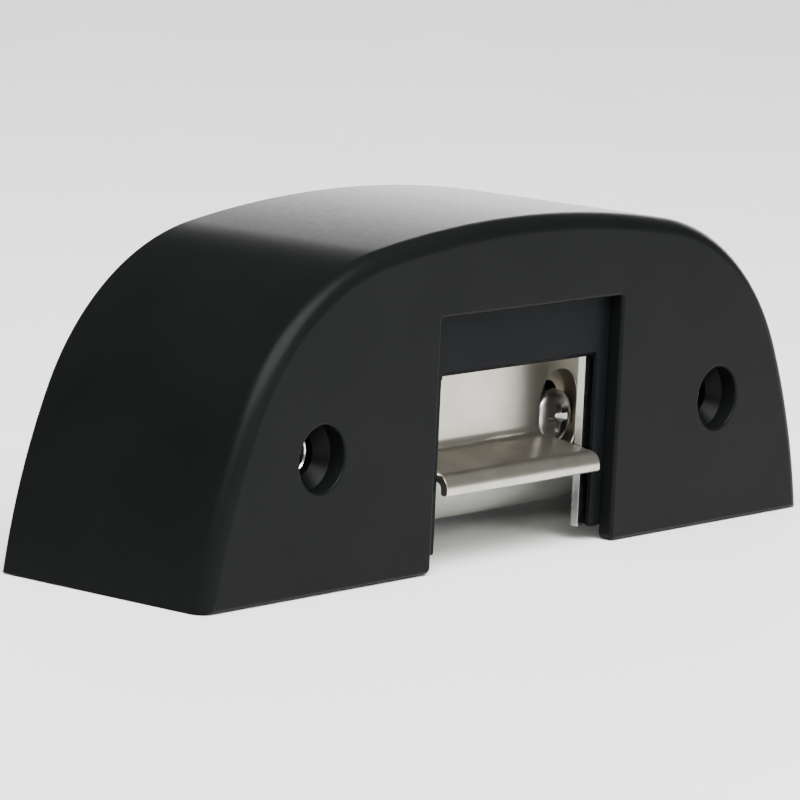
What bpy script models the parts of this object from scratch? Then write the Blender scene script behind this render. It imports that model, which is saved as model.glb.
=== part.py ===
"""Surface-mounted electric door strike, arch-shaped cover, swinging keeper, coil-held lock.

Frame: +X along the length, +Z up from the edge that faces the door, +Y from the front face to the
back. The origin is the bottom centre of the whole body. Metres.
"depth" is the distance behind the front face of the cover, which is how the pieces are laid out.
"""
import bpy
import bmesh
from math import cos, pi, radians, sin
from mathutils import Matrix, Vector

MM = 0.001

# ---- driving dimensions -------------------------------------------------------------------------
LENGTH = 132.0 * MM            # cover, end to end at the base
HEIGHT = 47.5 * MM             # cover, base to the crown of the arch
DEPTH = 36.3 * MM              # cover, front face to back rim
WALL = 2.2 * MM                # cover wall
FRONT_ROUND = 2.4 * MM         # rounding between the front face and the arch wall
SIDE_LEAN = radians(8.7)       # lean of the end walls at the base
SIDE_END = radians(25.0)       # direction of the wall's normal where the shoulder arc starts
SHOULDER_END = radians(80.8)   # and where the shoulder arc meets the crown arc
SHOULDER_RADIUS = 36.0 * MM

NOTCH_HALF = 20.0 * MM         # opening in the front face
NOTCH_TOP = 35.0 * MM
FIXING_X = 43.6 * MM           # the two fixing screws of the installer
FIXING_Z = 18.2 * MM
FIXING_COLLAR_R = 6.5 * MM     # round the well of the screw's head
FIXING_BOSS_R = 5.0 * MM       # and slimmer from there to the back
FIXING_WELL_R = 4.55 * MM
FIXING_BORE_R = 3.0 * MM
SLEEVE_R = 3.6 * MM            # steel sleeve that lines the boss
SLEEVE_BORE_R = 2.75 * MM
SLEEVE_SEAT = 5.2 * MM
POST_R = 3.0 * MM              # screw posts for the back plate
POSTS = ((57.5 * MM, 8.0 * MM), (31.0 * MM, 38.5 * MM))

GAP = 0.3 * MM                 # between pieces that rest on each other
RUNNING = 0.08 * MM            # radial clearance of a turning fit

WINDOW_HALF = 17.2 * MM        # window in the black surround
WINDOW_TOP = 26.1 * MM
SURROUND_FRONT = 2.0 * MM
SURROUND_FLANGE = 2.5 * MM
SURROUND_BACK = 3.1 * MM

FRAME_FRONT = 3.4 * MM         # bright steel strike frame
FRAME_SHEET = 1.2 * MM
FRAME_HALF = 26.4 * MM
FRAME_TOP = 34.8 * MM
FRAME_WINDOW_HALF = 16.4 * MM
CHEEK_LOW = 17.5 * MM
PLATE_FRONT = 34.3 * MM        # back plate
PLATE_BACK = 35.8 * MM
MECHANISM_BACK = PLATE_FRONT - GAP

PIVOT_DEPTH = 17.3 * MM        # keeper's axis, along X
PIVOT_Z = 29.5 * MM
PIN_R = 2.0 * MM
KEEPER_FRONT = 10.0 * MM       # front of the keeper's upright plate
KEEPER_BACK = 13.4 * MM
KEEPER_EAR_HALF = 24.4 * MM
KEEPER_TOP = 26.0 * MM
KEEPER_EAR_LOW = 9.5 * MM
SHELF_HALF = 16.2 * MM
LIP_HALF = 16.9 * MM                          # the lip is wider in front of the strike frame
SLOT_X = 19.4 * MM
SLOT_HALF = 4.2 * MM
SLOT_LOW = 10.6 * MM
SLOT_HIGH = 23.2 * MM
SLOT_FLOOR = 12.4 * MM
SCREW_Z = 16.3 * MM
CARRIER_FRONT = 13.7 * MM
CARRIER_BACK = 15.9 * MM
BARREL_R = 4.0 * MM
BARREL_IN = 12.0 * MM
TAIL_TIP = 27.2 * MM
TAIL_LOW = 27.5 * MM
TAIL_STEP = 25.3 * MM                         # behind this the tail is only a thin tip

COIL_DEPTH = 22.0 * MM         # coil axis, along X
COIL_Z = 8.1 * MM
COIL_LEFT = -8.0 * MM
COIL_RIGHT = 36.0 * MM
COIL_R = 6.8 * MM
POLE_SHEET = 1.6 * MM
POLE_BACK = 29.3 * MM
ARMATURE_X = -12.5 * MM        # armature's axis, along Z
ARMATURE_DEPTH = 30.8 * MM
ARMATURE_SHEET = 1.4 * MM
ARMATURE_OPEN = radians(2.9)   # how far the armature stands off the poles with the current off

ROUND = 24                     # sides of a round piece
SMALL = 16                     # sides of a small round piece


# ---- scene and helpers --------------------------------------------------------------------------
for old in list(bpy.data.objects):
    bpy.data.objects.remove(old, do_unlink=True)

parts = bpy.data.collections.new("electric_door_strike")
cutters = bpy.data.collections.new("cutters")
bpy.context.scene.collection.children.link(parts)
bpy.context.scene.collection.children.link(cutters)


def finish_material(name, color, roughness, metallic):
    material = bpy.data.materials.new(name)
    material.use_nodes = True
    shader = material.node_tree.nodes["Principled BSDF"]
    shader.inputs["Base Color"].default_value = (*color, 1.0)
    shader.inputs["Roughness"].default_value = roughness
    shader.inputs["Metallic"].default_value = metallic
    return material


BLACK_PAINT = finish_material("satin_black_paint", (0.018, 0.019, 0.021), 0.42, 0.0)
BLACK_FRAME = finish_material("black_surround", (0.02, 0.021, 0.023), 0.38, 0.0)
ZINC_PLATE = finish_material("bright_zinc_plate", (0.78, 0.79, 0.80), 0.16, 1.0)
SATIN_NICKEL = finish_material("satin_nickel", (0.62, 0.60, 0.55), 0.34, 1.0)
SCREW_STEEL = finish_material("screw_steel", (0.55, 0.54, 0.51), 0.28, 1.0)
SPRING_STEEL = finish_material("spring_steel", (0.45, 0.45, 0.46), 0.30, 1.0)
SOFT_IRON = finish_material("soft_iron", (0.50, 0.50, 0.50), 0.45, 1.0)
COPPER_WIRE = finish_material("enamelled_copper", (0.60, 0.26, 0.12), 0.32, 1.0)
WHITE_TAPE = finish_material("white_coil_tape", (0.72, 0.74, 0.70), 0.55, 0.0)
NYLON = finish_material("natural_nylon", (0.78, 0.76, 0.70), 0.45, 0.0)
GREEN_BLOCK = finish_material("terminal_plastic", (0.08, 0.09, 0.10), 0.45, 0.0)
RUBBER = finish_material("black_rubber", (0.02, 0.02, 0.02), 0.80, 0.0)
RED_LEAD = finish_material("red_insulation", (0.55, 0.03, 0.02), 0.45, 0.0)
BLACK_LEAD = finish_material("black_insulation", (0.02, 0.02, 0.02), 0.45, 0.0)


def at(x, depth, z):
    """A point from its place along the length, behind the front face and above the base."""
    return Vector((x, depth - DEPTH / 2, z))


def add(name, mesh, material=None, matrix=None):
    """Link a mesh as a part, or as a cutter when it has no material."""
    thing = bpy.data.objects.new(name, mesh)
    if matrix is not None:
        thing.matrix_world = matrix
    if material is None:
        thing.hide_render = True
        thing.display_type = "WIRE"
        cutters.objects.link(thing)
    else:
        thing.data.materials.append(material)
        parts.objects.link(thing)
    return thing


def smooth(thing, angle=40):
    thing.data.shade_smooth()
    thing.data.set_sharp_from_angle(angle=radians(angle))
    return thing


def block(name, x, depth, z, material=None):
    """A box from its limits along each direction."""
    low, high = at(x[0], depth[0], z[0]), at(x[1], depth[1], z[1])
    work = bmesh.new()
    bmesh.ops.create_cube(work, size=1.0)
    bmesh.ops.scale(work, vec=high - low, verts=work.verts)
    mesh = bpy.data.meshes.new(name)
    work.to_mesh(mesh)
    work.free()
    return add(name, mesh, material, Matrix.Translation((low + high) / 2))


def rod(name, radius, start, end, material=None, sides=ROUND):
    """A round bar between two points."""
    run = end - start
    work = bmesh.new()
    bmesh.ops.create_cone(work, cap_ends=True, segments=sides, radius1=radius, radius2=radius,
                          depth=run.length)
    mesh = bpy.data.meshes.new(name)
    work.to_mesh(mesh)
    work.free()
    turn = run.to_track_quat("Z", "Y").to_matrix().to_4x4()
    return smooth(add(name, mesh, material, Matrix.Translation((start + end) / 2) @ turn))


AXES = {"x": Matrix(((0, 0, 1), (0, 1, 0), (-1, 0, 0))).to_4x4(),
        "depth": Matrix(((1, 0, 0), (0, 0, 1), (0, -1, 0))).to_4x4(),
        "z": Matrix.Identity(4)}


def turned(name, profile, origin, axis, material=None, sides=ROUND):
    """Turn a profile of (radius, distance along the axis) points, listed outer side first."""
    mesh = bpy.data.meshes.new(name)
    open_ended = profile[0][0] == 0 and profile[-1][0] == 0
    count = len(profile)
    edges = [(i, i + 1) for i in range(count - 1)]
    if not open_ended:
        edges.append((count - 1, 0))
    mesh.from_pydata([(radius, 0, along) for radius, along in profile], edges, [])
    thing = add(name, mesh, material, Matrix.Translation(origin) @ AXES[axis])
    screw = thing.modifiers.new("turn", "SCREW")
    screw.angle = 2 * pi
    screw.steps = sides
    screw.render_steps = sides
    screw.use_merge_vertices = True
    screw.merge_threshold = 0.00001
    screw.use_smooth_shade = True
    return thing


PLANES = {"front": Matrix(((1, 0, 0), (0, 0, -1), (0, 1, 0))).to_4x4(),
          "side": Matrix(((0, 0, 1), (1, 0, 0), (0, 1, 0))).to_4x4()}


def mesh_from_curve(name, curve, matrix, weld=0.000001):
    """The closed mesh of a curve, moved to its place, with its caps joined on."""
    holder = bpy.data.objects.new(name, curve)
    cutters.objects.link(holder)
    bpy.context.view_layer.update()
    evaluated = holder.evaluated_get(bpy.context.evaluated_depsgraph_get())
    mesh = bpy.data.meshes.new_from_object(evaluated)
    bpy.data.objects.remove(holder, do_unlink=True)
    work = bmesh.new()
    work.from_mesh(mesh)
    bmesh.ops.remove_doubles(work, verts=work.verts, dist=weld)
    bmesh.ops.transform(work, matrix=matrix, verts=work.verts)
    work.to_mesh(mesh)
    work.free()
    mesh.name = name
    return mesh


def sheet(name, plane, outline, start, end, material=None):
    """A flat outline given thickness. In plane "front" the outline is (x, z) and the thickness
    runs from depth start to depth end; in "side" it is (depth, z) and runs from x start to end."""
    curve = bpy.data.curves.new(name, "CURVE")
    curve.dimensions = "2D"
    curve.fill_mode = "BOTH"
    curve.extrude = abs(end - start) / 2
    spline = curve.splines.new("POLY")
    spline.points.add(len(outline) - 1)
    for point, (a, b) in zip(spline.points, outline):
        point.co = (a, b, 0, 1)
    spline.use_cyclic_u = True
    middle = (start + end) / 2
    shift = at(0, middle, 0) if plane == "front" else at(middle, 0, 0)
    mesh = mesh_from_curve(name, curve, Matrix.Translation(shift) @ PLANES[plane])
    return add(name, mesh, material)


def wire(name, points, radius, material, sides=2):
    """A bent wire with closed ends through the given points."""
    curve = bpy.data.curves.new(name, "CURVE")
    curve.dimensions = "3D"
    curve.bevel_depth = radius
    curve.bevel_resolution = sides
    curve.use_fill_caps = True
    spline = curve.splines.new("POLY")
    spline.points.add(len(points) - 1)
    for point, place in zip(spline.points, points):
        point.co = (*place, 1)
    return smooth(add(name, mesh_from_curve(name, curve, Matrix.Identity(4)), material))


def boolean(thing, other, operation):
    step = thing.modifiers.new(other.name, "BOOLEAN")
    step.operation = operation
    step.object = other
    step.solver = "EXACT"


def cut(thing, *others):
    for other in others:
        boolean(thing, other, "DIFFERENCE")
    return thing


def join(thing, *others):
    for other in others:
        boolean(thing, other, "UNION")
    return thing


def arc(center, radius, start, end, steps):
    """Points on a circle from one angle to another, in radians, ends included."""
    turn = (end - start) / steps
    return [(center[0] + radius * cos(start + turn * i), center[1] + radius * sin(start + turn * i))
            for i in range(steps + 1)]


def smoothed(route, steps):
    """A smooth line through the route's points, with so many steps between each two."""
    line = []
    for i in range(len(route) - 1):
        before, a, b, after = (route[max(i - 1, 0)], route[i], route[i + 1],
                               route[min(i + 2, len(route) - 1)])
        for k in range(steps):
            t = k / steps
            line.append(0.5 * ((2 * a) + (b - before) * t + (2 * before - 5 * a + 4 * b - after)
                               * t ** 2 + (3 * a - before - 3 * b + after) * t ** 3))
    line.append(route[-1])
    return line


# ---- the arch -----------------------------------------------------------------------------------
def crown_and_side_radii():
    """The side and crown radii that make the arch as long and as high as the driving sizes."""
    a, b, c, d = (cos(SIDE_END) - cos(SIDE_LEAN), -cos(SHOULDER_END),
                  sin(SIDE_END) - sin(SIDE_LEAN), 1 - sin(SHOULDER_END))
    across = -LENGTH / 2 - SHOULDER_RADIUS * (cos(SHOULDER_END) - cos(SIDE_END))
    up = HEIGHT - SHOULDER_RADIUS * (sin(SHOULDER_END) - sin(SIDE_END))
    scale = a * d - b * c
    return (across * d - b * up) / scale, (a * up - across * c) / scale


def arch(inset=0.0, side_steps=3, shoulder_steps=8, crown_steps=4):
    """The arch from its right foot over the crown to its left foot, as (x, z) points."""
    side, crown = crown_and_side_radii()
    stretches = ((side, SIDE_LEAN, SIDE_END, side_steps),
                 (SHOULDER_RADIUS, SIDE_END, SHOULDER_END, shoulder_steps),
                 (crown, SHOULDER_END, pi / 2, crown_steps))
    x, z = LENGTH / 2, 0.0
    half = []
    for radius, start, end, steps in stretches:
        center = (x - radius * cos(start), z - radius * sin(start))
        half += arc(center, radius - inset, start, end, steps)[:-1]
        x, z = center[0] + radius * cos(end), center[1] + radius * sin(end)
    mirrored = [(-px, pz) for px, pz in reversed(half)]
    return half + [(0.0, HEIGHT - inset)] + mirrored


# ---- cover --------------------------------------------------------------------------------------
def fixing_well(name, x):
    """The stepped bore of a fixing screw: a well, a cone for the head, and room for the sleeve."""
    cone_start, cone_end, room = 2.6 * MM, 4.4 * MM, SLEEVE_R + 0.2 * MM
    profile = [(0, DEPTH), (room, DEPTH), (room, SLEEVE_SEAT), (FIXING_BORE_R, SLEEVE_SEAT),
               (FIXING_BORE_R, cone_end), (FIXING_WELL_R, cone_start), (FIXING_WELL_R, -1 * MM),
               (0, -1 * MM)]
    return turned(name, profile, at(x, 0, FIXING_Z), "depth")


def cover():
    """Die-cast shell: front face and arch wall, open at the back and at the base."""
    mesh = bpy.data.meshes.new("cover")
    work = bmesh.new()
    weight = work.edges.layers.float.new("bevel_weight_edge")
    front = [work.verts.new(at(x, 0, z)) for x, z in arch()]
    back = [work.verts.new(at(x, DEPTH, z)) for x, z in arch()]
    work.faces.new(front)
    for i in range(len(front) - 1):
        work.faces.new((front[i], back[i], back[i + 1], front[i + 1]))
        work.edges.get((front[i], front[i + 1]))[weight] = 1.0
    bmesh.ops.recalc_face_normals(work, faces=work.faces)
    work.to_mesh(mesh)
    work.free()
    shell = add("cover", mesh, BLACK_PAINT)
    rounding = shell.modifiers.new("front_rounding", "BEVEL")
    rounding.limit_method = "WEIGHT"
    rounding.width = FRONT_ROUND
    rounding.segments = 3
    wall = shell.modifiers.new("wall", "SOLIDIFY")
    wall.thickness = WALL
    wall.offset = -1
    wall.use_even_offset = True
    for side in (-1, 1):
        tag = "right" if side > 0 else "left"
        collar_end = [(FIXING_BOSS_R, 9 * MM), (FIXING_COLLAR_R, 6.4 * MM)]
        profile = ([(0, MECHANISM_BACK), (FIXING_BOSS_R, MECHANISM_BACK)] + collar_end
                   + [(FIXING_COLLAR_R, WALL / 2), (0, WALL / 2)])
        join(shell, turned(f"fixing_boss_{tag}", profile, at(side * FIXING_X, 0, FIXING_Z), "depth"))
        for number, (x, z) in enumerate(POSTS):
            join(shell, rod(f"post_{tag}_{number}", POST_R, at(side * x, WALL / 2, z),
                            at(side * x, MECHANISM_BACK, z), sides=SMALL))
    for side in (-1, 1):
        tag = "right" if side > 0 else "left"
        cut(shell, fixing_well(f"fixing_well_{tag}", side * FIXING_X))
        for number, (x, z) in enumerate(POSTS):
            cut(shell, rod(f"pilot_{tag}_{number}", 1.5 * MM, at(side * x, 22 * MM, z),
                           at(side * x, DEPTH, z), sides=SMALL))
    cut(shell, block("notch", (-NOTCH_HALF, NOTCH_HALF), (-5 * MM, 8 * MM), (-5 * MM, NOTCH_TOP)),
        block("below_base", (-80 * MM, 80 * MM), (-5 * MM, 45 * MM), (-10 * MM, 0)))
    return shell


def fixing_sleeve(side):
    """Steel tube in the boss, so that the installer's screw can't crush the cover."""
    tag = "right" if side > 0 else "left"
    front, back = SLEEVE_SEAT + GAP, MECHANISM_BACK
    profile = [(SLEEVE_R, back), (SLEEVE_R, front), (SLEEVE_BORE_R, front), (SLEEVE_BORE_R, back)]
    return turned(f"fixing_sleeve_{tag}", profile, at(side * FIXING_X, 0, FIXING_Z), "depth",
                  ZINC_PLATE)


# ---- black surround behind the notch ------------------------------------------------------------
def inverted_u(half, low, top, window_half, window_top):
    return [(-half, low), (-window_half, low), (-window_half, window_top), (window_half, window_top),
            (window_half, low), (half, low), (half, top), (-half, top)]


def surround():
    low = 1.9 * MM
    flange = sheet("surround", "front",
                   inverted_u(23.5 * MM, low, 37.6 * MM, WINDOW_HALF, WINDOW_TOP),
                   SURROUND_FLANGE, SURROUND_BACK, BLACK_FRAME)
    rim = sheet("surround_rim", "front",
                inverted_u(NOTCH_HALF - GAP, low, NOTCH_TOP - GAP, WINDOW_HALF, WINDOW_TOP),
                SURROUND_FRONT, SURROUND_BACK - 0.1 * MM)
    bevel = sheet("surround_bevel", "side",
                  [(1 * MM, WINDOW_TOP - MM), (3.0 * MM, WINDOW_TOP - 0.1 * MM),
                   (1.8 * MM, WINDOW_TOP + 1.1 * MM), (1 * MM, WINDOW_TOP + 1.1 * MM)],
                  -WINDOW_HALF, WINDOW_HALF)
    return cut(join(flange, rim), bevel)


# ---- bright steel strike frame ------------------------------------------------------------------
def strike_frame():
    """A front plate with a window, two cheeks bent back from it, and a foot on each cheek."""
    back = FRAME_FRONT + FRAME_SHEET
    front = sheet("strike_frame", "front",
                  inverted_u(FRAME_HALF, 1.9 * MM, FRAME_TOP, FRAME_WINDOW_HALF, 27.0 * MM),
                  FRAME_FRONT, back, ZINC_PLATE)
    foot_front = MECHANISM_BACK - FRAME_SHEET
    cheek = [(back - 0.5 * MM, CHEEK_LOW), (24 * MM, CHEEK_LOW), (foot_front, 22 * MM),
             (MECHANISM_BACK, 22 * MM), (MECHANISM_BACK, 34 * MM), (foot_front - 3 * MM, FRAME_TOP),
             (back - 0.5 * MM, FRAME_TOP)]
    for side in (-1, 1):
        tag = "right" if side > 0 else "left"
        inner, outer = side * (FRAME_HALF - FRAME_SHEET), side * FRAME_HALF
        foot = [(outer - side * 0.5 * MM, 22.5 * MM), (side * 32.4 * MM, 22.5 * MM),
                (side * 32.4 * MM, 33.5 * MM), (outer - side * 0.5 * MM, 33.5 * MM)]
        join(front, sheet(f"cheek_{tag}", "side", cheek, inner, outer),
             sheet(f"foot_{tag}", "front", foot, foot_front, MECHANISM_BACK))
        cut(front, rod(f"foot_hole_{tag}", 1.6 * MM, at(side * 29.6 * MM, 30 * MM, 28 * MM),
                       at(side * 29.6 * MM, 36 * MM, 28 * MM), sides=SMALL))
    hole = rod("pin_hole", PIN_R + RUNNING, at(-30 * MM, PIVOT_DEPTH, PIVOT_Z),
               at(30 * MM, PIVOT_DEPTH, PIVOT_Z))
    tie = rod("tie_hole", 1.6 * MM, at(-30 * MM, 29.5 * MM, 32.5 * MM),
              at(30 * MM, 29.5 * MM, 32.5 * MM), sides=SMALL)
    return cut(front, hole, tie)


def pivot_pin():
    """Plain pin with a groove near each end for its retaining ring."""
    end, groove, width = 28.6 * MM, 26.7 * MM, 0.8 * MM
    profile = [(0, end), (PIN_R, end), (PIN_R, groove + width), (1.5 * MM, groove + width),
               (1.5 * MM, groove), (PIN_R, groove), (PIN_R, -groove), (1.5 * MM, -groove),
               (1.5 * MM, -groove - width), (PIN_R, -groove - width), (PIN_R, -end), (0, -end)]
    return turned("keeper_pin", profile, at(0, PIVOT_DEPTH, PIVOT_Z), "x", SCREW_STEEL)


def retaining_ring(side):
    tag = "right" if side > 0 else "left"
    place = at(side * 27.1 * MM, PIVOT_DEPTH, PIVOT_Z)
    half = 0.25 * MM
    ring = turned(f"retaining_ring_{tag}",
                  [(3.6 * MM, half), (3.6 * MM, -half), (1.65 * MM, -half), (1.65 * MM, half)],
                  place, "x", SPRING_STEEL)
    mouth = block(f"ring_mouth_{tag}", (side * 27.1 * MM - MM, side * 27.1 * MM + MM),
                  (PIVOT_DEPTH - 1.2 * MM, PIVOT_DEPTH + 1.2 * MM), (PIVOT_Z, PIVOT_Z + 5 * MM))
    return cut(ring, mouth)


def tie_bar():
    reach = 26.2 * MM
    return rod("tie_bar", 1.5 * MM, at(-reach, 29.5 * MM, 32.5 * MM), at(reach, 29.5 * MM, 32.5 * MM),
               SCREW_STEEL, SMALL)


# ---- keeper -------------------------------------------------------------------------------------
def keeper_section():
    """Side outline of the middle of the keeper: upright plate, shelf and rolled-down lip."""
    rise = 0.16                                   # the shelf climbs this much for each unit of depth
    skin = 1.15 * MM
    nose, nose_z, nose_r = 0.3 * MM, 11.0 * MM, 2.2 * MM
    root = 1.8 * MM                               # inner corner between the shelf and the plate
    lip = arc((nose + nose_r, nose_z), nose_r, pi, pi / 2 + rise, 5)
    shelf_back = lip[-1][1] + rise * (KEEPER_FRONT - root - lip[-1][0])
    corner = arc((KEEPER_FRONT - root, shelf_back + root), root, -pi / 2 + rise, 0, 4)
    inside = arc((nose + nose_r, nose_z), nose_r - skin, pi / 2 + rise, pi, 4)
    under_back = shelf_back - skin + rise * root
    return ([(KEEPER_FRONT, KEEPER_TOP)] + corner[::-1] + lip[::-1]
            + [(nose, 10.2 * MM), (nose + skin, 10.2 * MM)] + inside[::-1]
            + [(KEEPER_FRONT, under_back), (KEEPER_BACK, under_back), (KEEPER_BACK, KEEPER_TOP)])


def slot_outline(half, low, high, x):
    top = arc((x, high - half), half, 0, pi, 10)
    bottom = arc((x, low + half), half, pi, 2 * pi, 10)
    return top + bottom


def keeper():
    body = sheet("keeper", "side", keeper_section(), -LIP_HALF, LIP_HALF, SATIN_NICKEL)
    for side in (-1, 1):
        tag = "right" if side > 0 else "left"
        cut(body, block(f"beside_shelf_{tag}", sorted((side * SHELF_HALF, side * 20 * MM)),
                        (3.05 * MM, 20 * MM), (5 * MM, 40 * MM)))
        inner, outer = side * (SHELF_HALF - 0.6 * MM), side * KEEPER_EAR_HALF
        ear = [(inner, KEEPER_EAR_LOW), (outer, KEEPER_EAR_LOW), (outer, KEEPER_TOP),
               (inner, KEEPER_TOP)]
        join(body, sheet(f"ear_{tag}", "front", ear, KEEPER_FRONT, KEEPER_BACK))
        wide = slot_outline(SLOT_HALF, SLOT_LOW, SLOT_HIGH, side * SLOT_X)
        narrow = slot_outline(2.4 * MM, SLOT_LOW + 1.8 * MM, SLOT_HIGH - 1.8 * MM, side * SLOT_X)
        cut(body, sheet(f"slot_{tag}", "front", wide, KEEPER_FRONT - 0.02 * MM, SLOT_FLOOR),
            sheet(f"slot_through_{tag}", "front", narrow, SLOT_FLOOR - MM, KEEPER_BACK + MM))
    return body


def keeper_screw(side):
    """Pan-head screw with a cross recess that clamps the keeper to its carrier."""
    tag = "right" if side > 0 else "left"
    head_front, seat, tip = 9.9 * MM, SLOT_FLOOR - GAP, 17.2 * MM
    x = side * SLOT_X
    dome = [(0.0, head_front), (1.8 * MM, head_front + 0.1 * MM), (3.0 * MM, head_front + 0.45 * MM),
            (3.75 * MM, head_front + 1.1 * MM), (3.95 * MM, head_front + 1.8 * MM),
            (3.9 * MM, seat), (1.95 * MM, seat), (1.95 * MM, tip), (0.0, tip)]
    screw = turned(f"keeper_screw_{tag}", dome[::-1], at(x, 0, SCREW_Z), "depth", SCREW_STEEL)
    arm, half = 2.2 * MM, 0.45 * MM
    depth = (head_front - MM, head_front + 1.4 * MM)
    return cut(screw, block(f"recess_a_{tag}", (x - arm, x + arm), depth,
                            (SCREW_Z - half, SCREW_Z + half)),
               block(f"recess_b_{tag}", (x - half, x + half), depth,
                     (SCREW_Z - arm, SCREW_Z + arm)))


def keeper_carrier():
    """The swinging block behind the keeper: plate, two barrels on the pin, and the lock's tail."""
    half = KEEPER_EAR_HALF
    outline = [(-half, 13 * MM), (half, 13 * MM), (half, PIVOT_Z), (BARREL_IN, PIVOT_Z),
               (BARREL_IN, 24 * MM), (-BARREL_IN, 24 * MM), (-BARREL_IN, PIVOT_Z), (-half, PIVOT_Z)]
    body = sheet("keeper_carrier", "front", outline, CARRIER_FRONT, CARRIER_BACK, ZINC_PLATE)
    for side in (-1, 1):
        tag = "right" if side > 0 else "left"
        join(body, rod(f"barrel_{tag}", BARREL_R, at(side * BARREL_IN, PIVOT_DEPTH, PIVOT_Z),
                       at(side * half, PIVOT_DEPTH, PIVOT_Z)))
    tail = [(PIVOT_DEPTH, TAIL_LOW), (TAIL_TIP, TAIL_LOW), (TAIL_TIP, TAIL_LOW + MM),
            (TAIL_STEP, TAIL_LOW + MM), (TAIL_STEP, 31.0 * MM), (PIVOT_DEPTH, 32.5 * MM)]
    join(body, sheet("tail", "side", tail, 18 * MM, half - 0.01 * MM))
    for side in (-1, 1):
        cut(body, rod(f"carrier_hole_{'right' if side > 0 else 'left'}", 2.3 * MM,
                      at(side * SLOT_X, CARRIER_FRONT - MM, SCREW_Z),
                      at(side * SLOT_X, CARRIER_BACK + MM, SCREW_Z), sides=SMALL))
    return cut(body, rod("barrel_bore", PIN_R + RUNNING, at(-30 * MM, PIVOT_DEPTH, PIVOT_Z),
                         at(30 * MM, PIVOT_DEPTH, PIVOT_Z)))


def keeper_spring():
    """Torsion spring on the pin: one leg on the carrier's back, one under the tie bar."""
    wire_r, coil_r, turns, reach = 0.35 * MM, 3.0 * MM, 8, 9.0 * MM
    steps = 10
    coil = []
    start = radians(200)
    end = start + 2 * pi * turns + radians(175)
    count = int((end - start) / (2 * pi) * steps)
    for i in range(count + 1):
        angle = start + (end - start) * i / count
        coil.append(at(-reach + 2 * reach * i / count, PIVOT_DEPTH + coil_r * cos(angle),
                       PIVOT_Z + coil_r * sin(angle)))
    low_leg = [at(-reach, 16.7 * MM, 19 * MM), at(-reach, 15.6 * MM + wire_r + 0.6 * MM, 24 * MM)]
    high_leg = [at(reach, 24 * MM, 31.0 * MM), at(reach, 31.5 * MM, 30.2 * MM)]
    return wire("keeper_spring", low_leg + coil + high_leg, wire_r, SPRING_STEEL, 1)


# ---- coil and its iron --------------------------------------------------------------------------
def coil_bobbin():
    left, right, flange = COIL_LEFT + 1.2 * MM, COIL_RIGHT - 1.2 * MM, 0.9 * MM
    outer, barrel, bore = 5.4 * MM, 3.3 * MM, 2.7 * MM
    profile = [(outer, right), (outer, right - flange), (barrel, right - flange),
               (barrel, left + flange), (outer, left + flange), (outer, left), (bore, left),
               (bore, right)]
    return turned("coil_bobbin", profile, at(0, COIL_DEPTH, COIL_Z), "x", NYLON)


def coil_winding():
    left, right = COIL_LEFT + 2.4 * MM, COIL_RIGHT - 2.4 * MM
    profile = [(5.4 * MM, right), (5.4 * MM, left), (3.6 * MM, left), (3.6 * MM, right)]
    return turned("coil_winding", profile, at(0, COIL_DEPTH, COIL_Z), "x", COPPER_WIRE)


def coil_tape():
    """Tape wound over the coil and turned in over the bobbin's flanges, with rounded corners."""
    edge, turn_in, inner, lap = 2.2 * MM, 4.2 * MM, 6.1 * MM, 0.6 * MM
    right_corner = arc((COIL_R - edge, COIL_RIGHT - edge), edge, pi / 2, 0, 4)
    left_corner = arc((COIL_R - edge, COIL_LEFT + edge), edge, 0, -pi / 2, 4)
    profile = ([(turn_in, COIL_RIGHT)] + right_corner + left_corner + [(turn_in, COIL_LEFT)]
               + [(turn_in, COIL_LEFT + lap), (inner - 0.7 * MM, COIL_LEFT + lap),
                  (inner, COIL_LEFT + edge), (inner, COIL_RIGHT - edge),
                  (inner - 0.7 * MM, COIL_RIGHT - lap), (turn_in, COIL_RIGHT - lap)])
    return turned("coil_tape", profile, at(0, COIL_DEPTH, COIL_Z), "x", WHITE_TAPE)


def coil_core():
    reach = POLE_SHEET + 0.5 * MM
    return rod("coil_core", 2.4 * MM, at(COIL_LEFT - reach, COIL_DEPTH, COIL_Z),
               at(COIL_RIGHT + reach, COIL_DEPTH, COIL_Z), SOFT_IRON)


def pole_bracket(side):
    """Iron plate at one end of the coil, with a foot that fixes it to the back plate."""
    tag = "right" if side > 0 else "left"
    inner = COIL_RIGHT + GAP if side > 0 else COIL_LEFT - GAP
    outer = inner + side * POLE_SHEET
    outline = [(17.5 * MM, 3.5 * MM), (POLE_BACK, 3.5 * MM), (POLE_BACK, 14.5 * MM),
               (MECHANISM_BACK, 14.5 * MM), (MECHANISM_BACK, 20 * MM), (25 * MM, 20 * MM),
               (17.5 * MM, 14 * MM)]
    body = sheet(f"pole_bracket_{tag}", "side", outline, inner, outer, SOFT_IRON)
    foot_start, foot_end = max(inner, outer) - 0.5 * MM, outer - 7 * MM
    foot = [(foot_end, 15.2 * MM), (foot_start, 15.2 * MM), (foot_start, 19.8 * MM),
            (foot_end, 19.8 * MM)]
    join(body, sheet(f"pole_foot_{tag}", "front", foot, MECHANISM_BACK - FRAME_SHEET,
                     MECHANISM_BACK))
    cut(body, rod(f"core_hole_{tag}", 2.7 * MM, at(inner - 4 * MM, COIL_DEPTH, COIL_Z),
                  at(inner + 4 * MM, COIL_DEPTH, COIL_Z)))
    screw_x = bracket_screw_x(side)
    cut(body, rod(f"pole_foot_hole_{tag}", 1.6 * MM, at(screw_x, 30 * MM, 17.5 * MM),
                  at(screw_x, 36 * MM, 17.5 * MM), sides=SMALL))
    return body


def bracket_screw_x(side):
    outer = COIL_RIGHT + GAP + POLE_SHEET if side > 0 else COIL_LEFT - GAP - POLE_SHEET
    return outer - 4.4 * MM


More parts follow.
